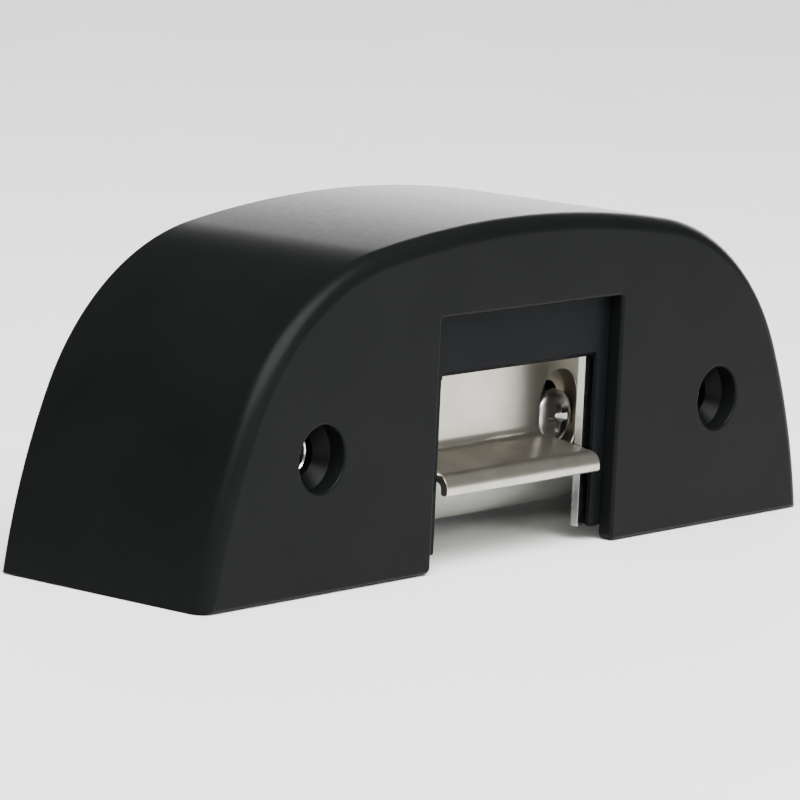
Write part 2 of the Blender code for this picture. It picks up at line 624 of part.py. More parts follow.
def armature_ears(bracket):
    """Two ears on the left pole bracket for the armature's pin, and its holes and spring notch."""
    cut(bracket, block("spring_notch", (COIL_LEFT - 3 * MM, COIL_LEFT + MM), (28.6 * MM, 31 * MM),
                       (6.5 * MM, 7.7 * MM)))
    for number, (low, high) in enumerate(((3.6, 4.7), (12.6, 13.7))):
        x = (-15 * MM, COIL_LEFT - GAP - 0.5 * MM)
        join(bracket, block(f"ear_{number}", x, (27 * MM, 32.8 * MM), (low * MM, high * MM)))
    cut(bracket, rod("armature_pin_hole", 1.0 * MM + RUNNING, at(ARMATURE_X, ARMATURE_DEPTH, 0),
                     at(ARMATURE_X, ARMATURE_DEPTH, 14.2 * MM), sides=SMALL))
    cut(bracket, rod("lead_hole_a", 0.95 * MM, at(-12 * MM, 24.0 * MM, 14 * MM),
                     at(-6 * MM, 24.0 * MM, 14 * MM), sides=SMALL),
        rod("lead_hole_b", 0.95 * MM, at(-12 * MM, 21.0 * MM, 14 * MM),
            at(-6 * MM, 21.0 * MM, 14 * MM), sides=SMALL))


def armature():
    """Iron bar across both poles, turning on a pin, with an arm whose nose holds the tail.

    The nose is chamfered below, so the tail of a closing keeper pushes it aside."""
    front = ARMATURE_DEPTH - 1.2 * MM
    back = front + ARMATURE_SHEET
    bar = [(ARMATURE_X, 5.0 * MM), (38 * MM, 5.0 * MM), (38 * MM, 12.3 * MM), (25 * MM, 12.3 * MM),
           (25 * MM, TAIL_LOW - 0.4 * MM), (19 * MM, TAIL_LOW - 0.4 * MM), (19 * MM, 12.3 * MM),
           (ARMATURE_X, 12.3 * MM)]
    body = sheet("armature", "front", bar, front, back, SOFT_IRON)
    nose_top = TAIL_LOW - 0.41 * MM
    nose_line = [(26 * MM, nose_top - 0.3 * MM), (26 * MM, nose_top), (back - 0.01 * MM, nose_top),
                 (back - 0.01 * MM, nose_top - 0.79 * MM), (26.6 * MM, nose_top - 0.79 * MM)]
    nose = sheet("nose", "side", nose_line, 19.01 * MM, 24.99 * MM)
    knuckle = rod("knuckle", 2.2 * MM, at(ARMATURE_X, ARMATURE_DEPTH, 5.0 * MM + 0.01 * MM),
                  at(ARMATURE_X, ARMATURE_DEPTH, 12.3 * MM - 0.01 * MM))
    room = rod("spring_room", 3.0 * MM, at(ARMATURE_X, ARMATURE_DEPTH, 6.6 * MM),
               at(ARMATURE_X, ARMATURE_DEPTH, 10.7 * MM))
    bore = rod("knuckle_bore", 1.0 * MM + RUNNING, at(ARMATURE_X, ARMATURE_DEPTH, 0),
               at(ARMATURE_X, ARMATURE_DEPTH, 20 * MM), sides=SMALL)
    return cut(join(body, nose, knuckle), room, bore)


def armature_pin():
    return rod("armature_pin", 1.0 * MM, at(ARMATURE_X, ARMATURE_DEPTH, 3.3 * MM),
               at(ARMATURE_X, ARMATURE_DEPTH, 14.0 * MM), SCREW_STEEL, SMALL)


def armature_spring():
    """Small torsion spring that swings the armature off the poles."""
    wire_r, coil_r, turns, steps = 0.22 * MM, 1.6 * MM, 5, 10
    low, high = 7.1 * MM, 10.2 * MM
    start, count = radians(-90), turns * steps
    coil = []
    for i in range(count + 1):
        angle = start + 2 * pi * turns * i / count
        coil.append(at(ARMATURE_X + coil_r * cos(angle), ARMATURE_DEPTH + coil_r * sin(angle),
                       low + (high - low) * i / count))
    to_bar = [at(ARMATURE_X + 8 * MM, ARMATURE_DEPTH - 1.1 * MM, low)]
    to_bracket = [at(ARMATURE_X + 1.2 * MM, ARMATURE_DEPTH - 2.1 * MM, high)]
    return wire("armature_spring", to_bar + coil + to_bracket, wire_r, SPRING_STEEL, 1)


def armature_stop():
    return rod("armature_stop", 2.5 * MM, at(31 * MM, 33.6 * MM, 8.6 * MM),
               at(31 * MM, MECHANISM_BACK, 8.6 * MM), RUBBER, SMALL)


# ---- back plate and its screws ------------------------------------------------------------------
PLATE_SCREWS = ([(side * x, z) for side in (-1, 1) for x, z in POSTS]
                + [(side * 29.6 * MM, 28 * MM) for side in (-1, 1)]
                + [(bracket_screw_x(side), 17.5 * MM) for side in (-1, 1)])
PLATE_SCREW_NAMES = (["back_plate_screw_1", "back_plate_screw_2", "back_plate_screw_3",
                      "back_plate_screw_4", "frame_screw_left", "frame_screw_right",
                      "pole_screw_left", "pole_screw_right"])
GROMMET = (-30.5 * MM, 17.6 * MM)


def back_plate():
    low = 1.2 * MM
    outline = [(x, max(z, low)) for x, z in arch(WALL + 0.5 * MM)]
    plate = sheet("back_plate", "front", outline, PLATE_FRONT, PLATE_BACK, ZINC_PLATE)
    for name, (x, z) in zip(PLATE_SCREW_NAMES, PLATE_SCREWS):
        head = [(1.75 * MM, PLATE_FRONT - MM), (1.75 * MM, PLATE_FRONT + 0.2 * MM),
                (3.2 * MM, PLATE_BACK - 0.1 * MM), (3.2 * MM, PLATE_BACK + MM)]
        profile = [(0, PLATE_FRONT - MM)] + head + [(0, PLATE_BACK + MM)]
        cut(plate, turned(f"{name}_seat", profile[::-1], at(x, 0, z), "depth", sides=SMALL))
    for side in (-1, 1):
        cut(plate, rod(f"plate_fixing_{'right' if side > 0 else 'left'}", SLEEVE_BORE_R,
                       at(side * FIXING_X, 30 * MM, FIXING_Z), at(side * FIXING_X, 40 * MM, FIXING_Z)))
    return cut(plate, rod("grommet_hole", 3.6 * MM, at(GROMMET[0], 30 * MM, GROMMET[1]),
                          at(GROMMET[0], 40 * MM, GROMMET[1])))


def plate_screw(name, x, z):
    """Countersunk screw, flush with the back plate."""
    length = 10 * MM if "back_plate" in name else 3.2 * MM
    back = PLATE_BACK - 0.15 * MM
    tip = back - length
    head = back - 1.35 * MM
    shank = 1.25 * MM
    profile = [(0, back), (2.75 * MM, back), (2.7 * MM, back - 0.15 * MM), (shank, head),
               (shank, tip + 0.6 * MM), (0.5 * MM, tip), (0, tip)]
    screw = turned(name, profile, at(x, 0, z), "depth", SCREW_STEEL, SMALL)
    arm, half = 1.3 * MM, 0.3 * MM
    depth = (back - 0.9 * MM, back + MM)
    return cut(screw, block(f"{name}_recess_a", (x - arm, x + arm), depth, (z - half, z + half)),
               block(f"{name}_recess_b", (x - half, x + half), depth, (z - arm, z + arm)))


def cable_grommet():
    """Rubber ring in the back plate where the supply cable would come in."""
    front, back = PLATE_FRONT - 1.2 * MM, PLATE_BACK + 0.4 * MM
    profile = [(4.6 * MM, back), (4.6 * MM, PLATE_BACK + 0.05 * MM), (3.3 * MM, PLATE_BACK + 0.05 * MM),
               (3.3 * MM, PLATE_FRONT - 0.2 * MM), (4.6 * MM, PLATE_FRONT - 0.2 * MM), (4.3 * MM, front),
               (2.3 * MM, front), (2.3 * MM, back)]
    return turned("cable_grommet", profile, at(GROMMET[0], 0, GROMMET[1]), "depth", RUBBER, SMALL)


# ---- terminals and leads ------------------------------------------------------------------------
BLOCK_X = (-34.0 * MM, -22.0 * MM)
TERMINALS = (-31.2 * MM, -24.8 * MM)
TERMINAL_DEPTH = 28.0 * MM
BLOCK_TOP = 12.5 * MM


def terminal_block():
    body = block("terminal_block", BLOCK_X, (24 * MM, MECHANISM_BACK), (3.5 * MM, BLOCK_TOP),
                 GREEN_BLOCK)
    for number, x in enumerate(TERMINALS, 1):
        cut(body, rod(f"terminal_well_{number}", 2.1 * MM, at(x, TERMINAL_DEPTH, 6.5 * MM),
                      at(x, TERMINAL_DEPTH, 15 * MM), sides=SMALL),
            rod(f"wire_entry_{number}", 1.2 * MM, at(x, 22 * MM, 8 * MM),
                at(x, TERMINAL_DEPTH, 8 * MM), sides=SMALL))
    return body


def terminal_screw(number, x):
    top = BLOCK_TOP - 0.6 * MM
    profile = [(0, top), (1.75 * MM, top), (1.75 * MM, top - 1.5 * MM), (1.2 * MM, top - 1.5 * MM),
               (1.2 * MM, 9.6 * MM), (0, 9.6 * MM)]
    screw = turned(f"terminal_screw_{number}", profile, at(x, TERMINAL_DEPTH, 0), "z", SCREW_STEEL,
                   SMALL)
    return cut(screw, block(f"terminal_slot_{number}", (x - 3 * MM, x + 3 * MM),
                            (TERMINAL_DEPTH - 0.25 * MM, TERMINAL_DEPTH + 0.25 * MM),
                            (top - 0.6 * MM, top + MM)))


def coil_lead(number, start_depth, terminal_x, material):
    """Insulated lead from the coil's end, through its bracket, to a terminal."""
    route = [at(COIL_LEFT - 0.2 * MM, start_depth, 14 * MM), at(-12 * MM, start_depth, 14 * MM),
             at(-17 * MM, start_depth - 3.5 * MM, 12 * MM),
             at(terminal_x + 5 * MM, start_depth - 5.5 * MM, 8 * MM),
             at(terminal_x + 0.6 * MM, 19.6 * MM, 8 * MM), at(terminal_x, 22.6 * MM, 8 * MM),
             at(terminal_x, 25.6 * MM, 8 * MM)]
    return wire(f"coil_lead_{number}", smoothed(route, 3), 0.5 * MM, material, 1)


def suppressor():
    """Small diode across the terminals, laid along the front of the block."""
    body, lead, half, reach = 1.2 * MM, 0.3 * MM, 2.3 * MM, 4.2 * MM
    profile = [(0, reach), (lead, reach), (lead, half), (body, half), (body, -half), (lead, -half),
               (lead, -reach), (0, -reach)]
    middle = (TERMINALS[0] + TERMINALS[1]) / 2
    return turned("suppressor_diode", profile, at(middle, TERMINAL_DEPTH, BLOCK_TOP + 2.0 * MM), "x",
                  BLACK_LEAD, SMALL)


# ---- build --------------------------------------------------------------------------------------
def hang_on(axis_name, place, direction, pieces, turn=0.0):
    """Parent the pieces, and the objects that shape them, to an empty on their joint's axis.

    The empty is then turned to the rest position."""
    axis = bpy.data.objects.new(axis_name, None)
    axis.location = place
    parts.objects.link(axis)
    bpy.context.view_layer.update()
    for piece in pieces:
        shaping = [step.object for step in piece.modifiers if step.type == "BOOLEAN"]
        for thing in [piece] + shaping:
            thing.parent = axis
            thing.matrix_parent_inverse = axis.matrix_world.inverted()
    axis.rotation_euler = Vector(direction) * turn


cover()
for which in (-1, 1):
    fixing_sleeve(which)
surround()
strike_frame()
pivot_pin()
tie_bar()
for which in (-1, 1):
    retaining_ring(which)

swinging = [keeper(), keeper_carrier(), keeper_screw(-1), keeper_screw(1)]
hang_on("keeper_axis", at(0, PIVOT_DEPTH, PIVOT_Z), (1, 0, 0), swinging)
keeper_spring()

coil_bobbin()
coil_winding()
coil_tape()
coil_core()
armature_ears(pole_bracket(-1))
pole_bracket(1)
hang_on("armature_axis", at(ARMATURE_X, ARMATURE_DEPTH, 0), (0, 0, 1), [armature()], ARMATURE_OPEN)
armature_pin()
armature_spring()
armature_stop()

back_plate()
for screw_name, (screw_x, screw_z) in zip(PLATE_SCREW_NAMES, PLATE_SCREWS):
    plate_screw(screw_name, screw_x, screw_z)
cable_grommet()
terminal_block()
for index, terminal in enumerate(TERMINALS, 1):
    terminal_screw(index, terminal)
coil_lead(1, 24.0 * MM, TERMINALS[1], RED_LEAD)
coil_lead(2, 21.0 * MM, TERMINALS[0], BLACK_LEAD)
suppressor()
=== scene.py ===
# %% [markdown]
# # Electric door strike
#
# An electric door strike takes the place of the plain plate that a lock's bolt goes into. Its keeper
# can swing away when an electric signal allows it, so the door opens with the bolt still out.
# This one is screwed onto the face of the door frame under an arch-shaped cover.
#
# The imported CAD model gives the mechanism: where each piece is and how it moves. This lesson gives each
# piece the shape of the real one, with its soft edges, bends, threads and windings, and its finish.
# Each finished piece rides on the same body as the CAD piece that it stands for.

# %% Load the mechanism
from math import cos, degrees, pi, radians, sin, sqrt

import bmesh
import bpy
import numpy as np
from mathutils import Matrix, Vector


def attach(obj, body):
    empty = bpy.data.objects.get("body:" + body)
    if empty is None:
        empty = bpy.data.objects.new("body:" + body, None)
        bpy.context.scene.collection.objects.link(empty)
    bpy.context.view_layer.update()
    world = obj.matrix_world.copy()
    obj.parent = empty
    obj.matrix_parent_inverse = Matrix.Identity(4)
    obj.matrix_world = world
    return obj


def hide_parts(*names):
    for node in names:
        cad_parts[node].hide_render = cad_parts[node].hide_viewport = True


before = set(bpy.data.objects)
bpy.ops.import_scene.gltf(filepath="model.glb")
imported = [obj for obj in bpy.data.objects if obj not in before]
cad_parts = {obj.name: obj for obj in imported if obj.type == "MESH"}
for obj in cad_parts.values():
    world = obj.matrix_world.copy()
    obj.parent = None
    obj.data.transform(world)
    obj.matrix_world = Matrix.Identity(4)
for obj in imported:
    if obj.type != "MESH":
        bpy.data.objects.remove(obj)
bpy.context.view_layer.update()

# %% [markdown]
# ## Working in millimetres
#
# The pieces are small, so they are drawn in millimetres, where bevels and Booleans behave well, and
# scaled to metres when they are finished. A place is given as x along the length, depth behind the
# front face, and z above the straight base edge, the way a drawing of the part would give it.

# %% Drawing tools
DEPTH = 36.3
MIDDLE = DEPTH / 2


def at(x, depth, z):
    return Vector((x, depth - MIDDLE, z))


def new_thing(name, vertices, faces):
    mesh = bpy.data.meshes.new(name)
    mesh.from_pydata([tuple(v) for v in vertices], [], faces)
    work = bmesh.new()
    work.from_mesh(mesh)
    bmesh.ops.recalc_face_normals(work, faces=work.faces)
    work.to_mesh(mesh)
    work.free()
    thing = bpy.data.objects.new(name, mesh)
    bpy.context.scene.collection.objects.link(thing)
    return thing


def arc(center, radius, start, end, steps):
    """Points on a circle, angles in degrees, both ends included."""
    angles = [radians(start + (end - start) * i / steps) for i in range(steps + 1)]
    return [(center[0] + radius * cos(a), center[1] + radius * sin(a)) for a in angles]


def rounded(points, radius, steps=6):
    """A closed outline with its corners rounded. radius is one number, or one for each corner."""
    radii = [radius] * len(points) if isinstance(radius, (int, float)) else radius
    line = []
    for i, (corner, r) in enumerate(zip(points, radii)):
        here = Vector(corner)
        a = (Vector(points[i - 1]) - here).normalized()
        b = (Vector(points[(i + 1) % len(points)]) - here).normalized()
        spread = a.angle(b)
        if r <= 0 or spread > pi - 0.01:
            line.append(tuple(here))
            continue
        reach = r / np.tan(spread / 2)
        center = here + (a + b).normalized() * r / sin(spread / 2)
        first, last = here + a * reach - center, here + b * reach - center
        for k in range(steps + 1):
            line.append(tuple(center + first.slerp(last, k / steps, first).normalized() * r))
    return line


def extruded(name, outline, plane, start, end):
    """An outline given thickness. In plane "front" it is (x, z), in "side" (depth, z), in "top"
    (x, depth), and the thickness runs along the direction that is left."""
    place = {"front": lambda a, b, t: at(a, t, b), "side": lambda a, b, t: at(t, a, b),
             "top": lambda a, b, t: at(a, b, t)}[plane]
    count = len(outline)
    vertices = [place(a, b, t) for t in (start, end) for a, b in outline]
    sides = [(i, (i + 1) % count, (i + 1) % count + count, i + count) for i in range(count)]
    caps = [tuple(range(count)), tuple(range(2 * count - 1, count - 1, -1))]
    return new_thing(name, vertices, sides + caps)


def stacked(name, outlines):
    """A solid through a row of (outline, depth) pairs, each outline given as (x, z) points."""
    count = len(outlines[0][0])
    vertices = [at(x, depth, z) for line, depth in outlines for x, z in line]
    faces = [(r * count + i, r * count + (i + 1) % count, (r + 1) * count + (i + 1) % count,
              (r + 1) * count + i) for r in range(len(outlines) - 1) for i in range(count)]
    caps = [tuple(range(count)), tuple(range(len(vertices) - 1, len(vertices) - 1 - count, -1))]
    return new_thing(name, vertices, faces + caps)


def block(name, x, depth, z):
    return extruded(name, [(x[0], z[0]), (x[1], z[0]), (x[1], z[1]), (x[0], z[1])], "front", *depth)


TURN_AXES = {"x": lambda u, v, w: (w, v, -u), "depth": lambda u, v, w: (u, w, -v),
             "z": lambda u, v, w: (u, v, w)}


def revolved(name, profile, origin, axis, sides=64, thread=None):
    """A turned piece from (radius, distance along the axis) points. A thread is
    (from, to, pitch, height) along the axis, and raises a helical ridge on the shank."""
    rows = list(profile)
    if thread:
        start, end, pitch, height = thread
        count = int(abs(end - start) / pitch * 8)
        radius = max(r for r, along in profile if min(start, end) <= along <= max(start, end))
        dense = [(radius, start + (end - start) * i / count) for i in range(count + 1)]
        split = next(i for i, row in enumerate(rows) if row[1] >= start and abs(row[0] - radius) < 1e-6)
        keep = [row for row in rows[split:] if row[1] > end]
        rows = rows[:split] + dense + keep
    closed = rows[0][0] > 0 or rows[-1][0] > 0
    vertices, faces, ring = [], [], []
    for radius, along in rows:
        if radius == 0:
            ring.append([len(vertices)])
            vertices.append((0.0, 0.0, along))
            continue
        ring.append(list(range(len(vertices), len(vertices) + sides)))
        for k in range(sides):
            angle = 2 * pi * k / sides
            r = radius
            if thread and min(start, end) < along < max(start, end):
                wave = abs(((along - start) / pitch - k / sides) % 1.0 * 2 - 1)
                fade = min(1.0, abs(along - start) / pitch, abs(along - end) / pitch)
                r += height * (wave - 1.0) * fade
            vertices.append((r * cos(angle), r * sin(angle), along))
    pairs = list(zip(ring, ring[1:])) + ([(ring[-1], ring[0])] if closed else [])
    for a, b in pairs:
        for k in range(sides):
            n = (k + 1) % sides
            face = [a[k % len(a)], a[n % len(a)], b[n % len(b)], b[k % len(b)]]
            face = list(dict.fromkeys(face))
            if len(face) > 2:
                faces.append(tuple(face))
    place = TURN_AXES[axis]
    return new_thing(name, [Vector(place(*v)) + origin for v in vertices], faces)


def bar(name, radius, start, end, sides=48):
    """A round bar between two points that lie on a line along x, depth or z."""
    run = end - start
    axis = {0: "x", 1: "depth", 2: "z"}[max(range(3), key=lambda i: abs(run[i]))]
    profile = [(0, 0), (radius, 0), (radius, run.length), (0, run.length)]
    return revolved(name, profile, start, axis, sides)


def shaped(thing, others, operation):
    for other in others:
        step = thing.modifiers.new(other.name, "BOOLEAN")
        step.operation = operation
        step.object = other
        step.solver = "EXACT"
    return thing


def cut(thing, *others):
    return shaped(thing, others, "DIFFERENCE")


def join(thing, *others):
    return shaped(thing, others, "UNION")


def baked(thing):
    """Apply the thing's modifiers, and remove the helpers that shaped it."""
    helpers = [m.object for m in thing.modifiers if m.type == "BOOLEAN"]
    bpy.context.view_layer.update()
    mesh = bpy.data.meshes.new_from_object(thing.evaluated_get(bpy.context.evaluated_depsgraph_get()))
    thing.modifiers.clear()
    thing.data = mesh
    for helper in helpers:
        bpy.data.objects.remove(helper, do_unlink=True)
    return thing


def soften(thing, width, segments=2, angle=32):
    """Round off the sharp edges a little, as tumbling, plating and paint do."""
    baked(thing)
    work = bmesh.new()
    work.from_mesh(thing.data)
    bmesh.ops.remove_doubles(work, verts=work.verts, dist=0.002)
    bmesh.ops.dissolve_limit(work, angle_limit=radians(0.5), verts=work.verts, edges=work.edges)
    work.to_mesh(thing.data)
    work.free()
    step = thing.modifiers.new("soft_edges", "BEVEL")
    step.width = width
    step.segments = segments
    step.limit_method = "ANGLE"
    step.angle_limit = radians(angle)
    step.use_clamp_overlap = True
    return baked(thing)


def finished(thing, name, material, body, nodes, angle=35):
    """Shade the piece, scale it to metres and hand it to the frame in place of its CAD nodes."""
    baked(thing)
    work = bmesh.new()
    work.from_mesh(thing.data)
    bmesh.ops.remove_doubles(work, verts=work.verts, dist=0.001)
    bmesh.ops.dissolve_degenerate(work, edges=work.edges, dist=0.001)
    work.to_mesh(thing.data)
    work.free()
    thing.data.shade_smooth()
    thing.data.set_sharp_from_angle(angle=radians(angle))
    step = thing.modifiers.new("even_shading", "WEIGHTED_NORMAL")
    step.keep_sharp = True
    baked(thing)
    thing.data.transform(Matrix.Scale(0.001, 4))
    name = name.replace(" ", "_")
    thing.name = name
    thing.data.name = name
    thing.data.materials.clear()
    thing.data.materials.append(material)
    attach(thing, body)
    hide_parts(*nodes)
    print(f"{name}: {len(thing.data.polygons)} faces")
    return thing


# %% [markdown]
# ## Finishes
#
# A finish is more than a colour. Powder coat is slightly wavy, like the skin of an orange. Zinc plate is
# bright with faint cloudy patches. Sintered nickel-plated steel is finely grained, and drawn wire
# has marks along it. Each material here mixes two close colours in soft patches, varies the
# roughness with a second pattern, and adds a very shallow relief of a few thousandths of a millimetre.
# All patterns are made from the object's own coordinates, so they stay on the piece when it moves.

# %% Finish maker
def finish(name, colors, rough, metallic=0.0, patch=120.0, grain=(900.0, 900.0, 900.0), relief=3e-6,
           detail=4.0, specular=0.5, coat=0.0, speck=0.0):
    """A procedural finish. patch and grain are the patterns' counts per metre."""
    material = bpy.data.materials.new(name)
    material.use_nodes = True
    tree = material.node_tree
    shader = tree.nodes["Principled BSDF"]
    shader.inputs["Metallic"].default_value = metallic
    shader.inputs["Specular IOR Level"].default_value = specular
    shader.inputs["Coat Weight"].default_value = coat
    shader.inputs["Coat Roughness"].default_value = 0.12

    def node(kind, **settings):
        made = tree.nodes.new(kind)
        for key, value in settings.items():
            setattr(made, key, value)
        return made

    def link(a, b):
        tree.links.new(a, b)

    def ranged(source, low, high, to_low=0.0, to_high=1.0):
        made = node("ShaderNodeMapRange")
        for key, value in (("From Min", low), ("From Max", high), ("To Min", to_low), ("To Max", to_high)):
            made.inputs[key].default_value = value
        link(source, made.inputs["Value"])
        return made.outputs["Result"]

    where = node("ShaderNodeTexCoord")
    soft = node("ShaderNodeTexNoise")
    soft.inputs["Scale"].default_value = patch
    soft.inputs["Detail"].default_value = 3.0
    link(where.outputs["Object"], soft.inputs["Vector"])
    tint = node("ShaderNodeMix", data_type="RGBA")
    tint.inputs["A"].default_value = (*colors[0], 1.0)
    tint.inputs["B"].default_value = (*colors[1], 1.0)
    link(ranged(soft.outputs["Fac"], 0.3, 0.7), tint.inputs["Factor"])

    stretch = node("ShaderNodeMapping")
    stretch.inputs["Scale"].default_value = grain
    link(where.outputs["Object"], stretch.inputs["Vector"])
    fine = node("ShaderNodeTexNoise")
    fine.inputs["Scale"].default_value = 1.0
    fine.inputs["Detail"].default_value = detail
    link(stretch.outputs["Vector"], fine.inputs["Vector"])
    link(ranged(fine.outputs["Fac"], 0.25, 0.75, *rough), shader.inputs["Roughness"])
    bump = node("ShaderNodeBump")
    bump.inputs["Strength"].default_value = 1.0
    bump.inputs["Distance"].default_value = relief
    link(fine.outputs["Fac"], bump.inputs["Height"])
    link(bump.outputs["Normal"], shader.inputs["Normal"])

    color = tint.outputs["Result"]
    if speck:
        dots = node("ShaderNodeTexVoronoi")
        dots.inputs["Scale"].default_value = grain[0] * 1.4
        link(where.outputs["Object"], dots.inputs["Vector"])
        near = ranged(dots.outputs["Distance"], 0.05, 0.5, 1.0 - speck)
        darker = node("ShaderNodeVectorMath", operation="SCALE")
        link(color, darker.inputs[0])
        link(near, darker.inputs["Scale"])
        color = darker.outputs["Vector"]
    link(color, shader.inputs["Base Color"])
    return material


BLACK = finish("satin black powder coat", ((0.0034, 0.0037, 0.0038), (0.0044, 0.0047, 0.0048)),
               (0.33, 0.39), patch=60, grain=(1100, 1100, 1100), relief=2.5e-6, specular=0.05)
BLACK_SHEET = finish("satin black sheet paint", ((0.0026, 0.0030, 0.0036), (0.0036, 0.0041, 0.0048)),
                     (0.34, 0.42), patch=90, grain=(1500, 1500, 1500), relief=2e-6, specular=0.05)
ZINC = finish("bright zinc plate", ((0.66, 0.68, 0.70), (0.78, 0.79, 0.79)), (0.14, 0.26),
              metallic=1.0, patch=220, grain=(500, 500, 2600), relief=6e-7, detail=2.0)
NICKEL = finish("satin nickel plate", ((0.50, 0.475, 0.405), (0.62, 0.59, 0.51)), (0.28, 0.34),
                metallic=1.0, patch=160, grain=(2400, 2400, 2400), relief=6e-7, detail=2.0)
SCREW = finish("nickel plated screw steel", ((0.50, 0.49, 0.45), (0.58, 0.565, 0.52)), (0.27, 0.32),
               metallic=1.0, patch=200, grain=(900, 900, 900), relief=4e-7, detail=2.0)
SPRING = finish("drawn spring wire", ((0.36, 0.36, 0.37), (0.48, 0.48, 0.48)), (0.22, 0.36),
                metallic=1.0, patch=300, grain=(900, 3800, 3800), relief=6e-7, detail=2.0)
IRON = finish("plated soft iron", ((0.40, 0.40, 0.39), (0.52, 0.52, 0.50)), (0.36, 0.52),
              metallic=1.0, patch=180, grain=(1400, 700, 2200), relief=1.4e-6, speck=0.08)
COPPER = finish("enamelled copper wire", ((0.50, 0.19, 0.08), (0.66, 0.29, 0.13)), (0.20, 0.34),
                metallic=1.0, patch=250, grain=(5200, 300, 300), relief=2.5e-5, detail=1.0)
TAPE = finish("pale insulating tape", ((0.52, 0.55, 0.50), (0.62, 0.64, 0.59)), (0.30, 0.44),
              patch=110, grain=(1700, 900, 900), relief=6e-6, specular=0.5, coat=0.15)
NYLON = finish("natural nylon", ((0.66, 0.64, 0.57), (0.74, 0.72, 0.66)), (0.38, 0.50),
               patch=150, grain=(1200, 1200, 1200), relief=3e-6)
TERMINAL = finish("moulded terminal plastic", ((0.030, 0.034, 0.038), (0.042, 0.046, 0.050)),
                  (0.42, 0.56), patch=200, grain=(2400, 2400, 2400), relief=4e-6)
RUBBER = finish("black rubber", ((0.012, 0.012, 0.012), (0.020, 0.019, 0.018)), (0.66, 0.84),
                patch=260, grain=(2000, 2000, 2000), relief=8e-6, specular=0.3, speck=0.25)
RED = finish("red wire insulation", ((0.36, 0.012, 0.010), (0.46, 0.020, 0.016)), (0.34, 0.46),
             patch=350, grain=(700, 2400, 2400), relief=3e-6)
BLACK_WIRE = finish("black wire insulation", ((0.012, 0.012, 0.013), (0.020, 0.020, 0.021)),
                    (0.34, 0.46), patch=350, grain=(700, 2400, 2400), relief=3e-6)
DIODE = finish("moulded epoxy", ((0.014, 0.014, 0.015), (0.024, 0.024, 0.025)), (0.40, 0.55),
               patch=500, grain=(3000, 3000, 3000), relief=3e-6)
print("finishes:", len(bpy.data.materials))

# %% [markdown]
# ## Cover
#
# The cover is a zinc die casting. Its outline is a chain of arcs that meet smoothly: the ends lean in
# a little, the shoulders turn tightly, and the crown is almost flat. A die casting has no sharp outer
# edges, so the front edge is a rounding that the shell follows from the flat face onto the arch wall.
# The notch and the base edges are cut with a tool that flares towards the front face, which
# leaves them rounded by half a millimetre. The screw wells get a smaller flare of the same kind.

# %% Cover
LENGTH, HEIGHT, WALL, ROUND_FRONT, ROUND_BACK = 132.0, 47.5, 2.2, 2.4, 0.6
LEAN, SIDE_END, SHOULDER_END, SHOULDER = 8.7, 25.0, 80.8, 36.0
NOTCH_HALF, NOTCH_TOP, FIX_X, FIX_Z = 20.0, 35.0, 43.6, 18.2
SLEEVE_SEAT, PLATE_FRONT, PLATE_BACK = 5.2, 34.3, 35.8
MECHANISM_BACK = PLATE_FRONT - 0.3
POSTS = ((57.5, 8.0), (31.0, 38.5))


def arch(inset, foot=0.0):
    """The arch from its right foot to its left foot as (x, z), set in by a distance."""
    a1, a2, lean = radians(SIDE_END), radians(SHOULDER_END), radians(LEAN)
    m = np.array([[cos(a1) - cos(lean), -cos(a2)], [sin(a1) - sin(lean), 1 - sin(a2)]])
    across = -LENGTH / 2 - SHOULDER * (cos(a2) - cos(a1))
    up = HEIGHT - SHOULDER * (sin(a2) - sin(a1))
    side, crown = np.linalg.solve(m, [across, up])
    x, z, half = LENGTH / 2, 0.0, []
    for radius, start, end, steps in ((side, LEAN, SIDE_END, 10), (SHOULDER, SIDE_END, SHOULDER_END, 36),
                                      (crown, SHOULDER_END, 90.0, 16)):
        center = (x - radius * cos(radians(start)), z - radius * sin(radians(start)))
        half += arc(center, radius - inset, start, end, steps)[:-1]
        x = center[0] + radius * cos(radians(end))
        z = center[1] + radius * sin(radians(end))
    if foot < 0:
        first = half[0]
        drop = (first[1] - foot) / cos(lean)
        half = [(first[0] + drop * sin(lean), foot)] + half
    return half + [(0.0, HEIGHT - inset)] + [(-px, pz) for px, pz in reversed(half)]


def shell():
    """Front face, arch wall, back rim and inner faces as one closed skin, open towards the base."""
    rings = []
    for i in range(11):
        a = radians(90 * i / 10)
        rings.append((ROUND_FRONT * (1 - sin(a)), ROUND_FRONT * (1 - cos(a))))
    for i in range(1, 6):
        rings.append((0.0, ROUND_FRONT + (DEPTH - ROUND_BACK - ROUND_FRONT) * i / 5))
    for i in range(1, 6):
        a = radians(90 * i / 5)
        rings.append((ROUND_BACK * (1 - cos(a)), DEPTH - ROUND_BACK * (1 - sin(a))))
    rings += [(WALL - 0.2, DEPTH), (WALL, DEPTH - 0.2), (WALL, WALL + 1.2)]
    rings += [(WALL + 1.2 * (1 - cos(radians(a))), WALL + 1.2 * (1 - sin(radians(a))))
              for a in (22.5, 45, 67.5, 90)]
    vertices, faces = [], []
    count = len(arch(0.0, -4.0))
    for inset, depth in rings:
        vertices += [at(x, depth, z) for x, z in arch(inset, -4.0)]
    for r in range(len(rings) - 1):
        for i in range(count - 1):
            a, b = r * count + i, (r + 1) * count + i
            faces.append((a, a + 1, b + 1, b))
    last = (len(rings) - 1) * count
    faces.append(tuple(range(count)))
    faces.append(tuple(range(last + count - 1, last - 1, -1)))
    rights = [r * count for r in range(len(rings))]
    lefts = [r * count + count - 1 for r in range(len(rings))]
    faces.append(tuple(rights + lefts[::-1]))
    return new_thing("cover shell", vertices, faces)


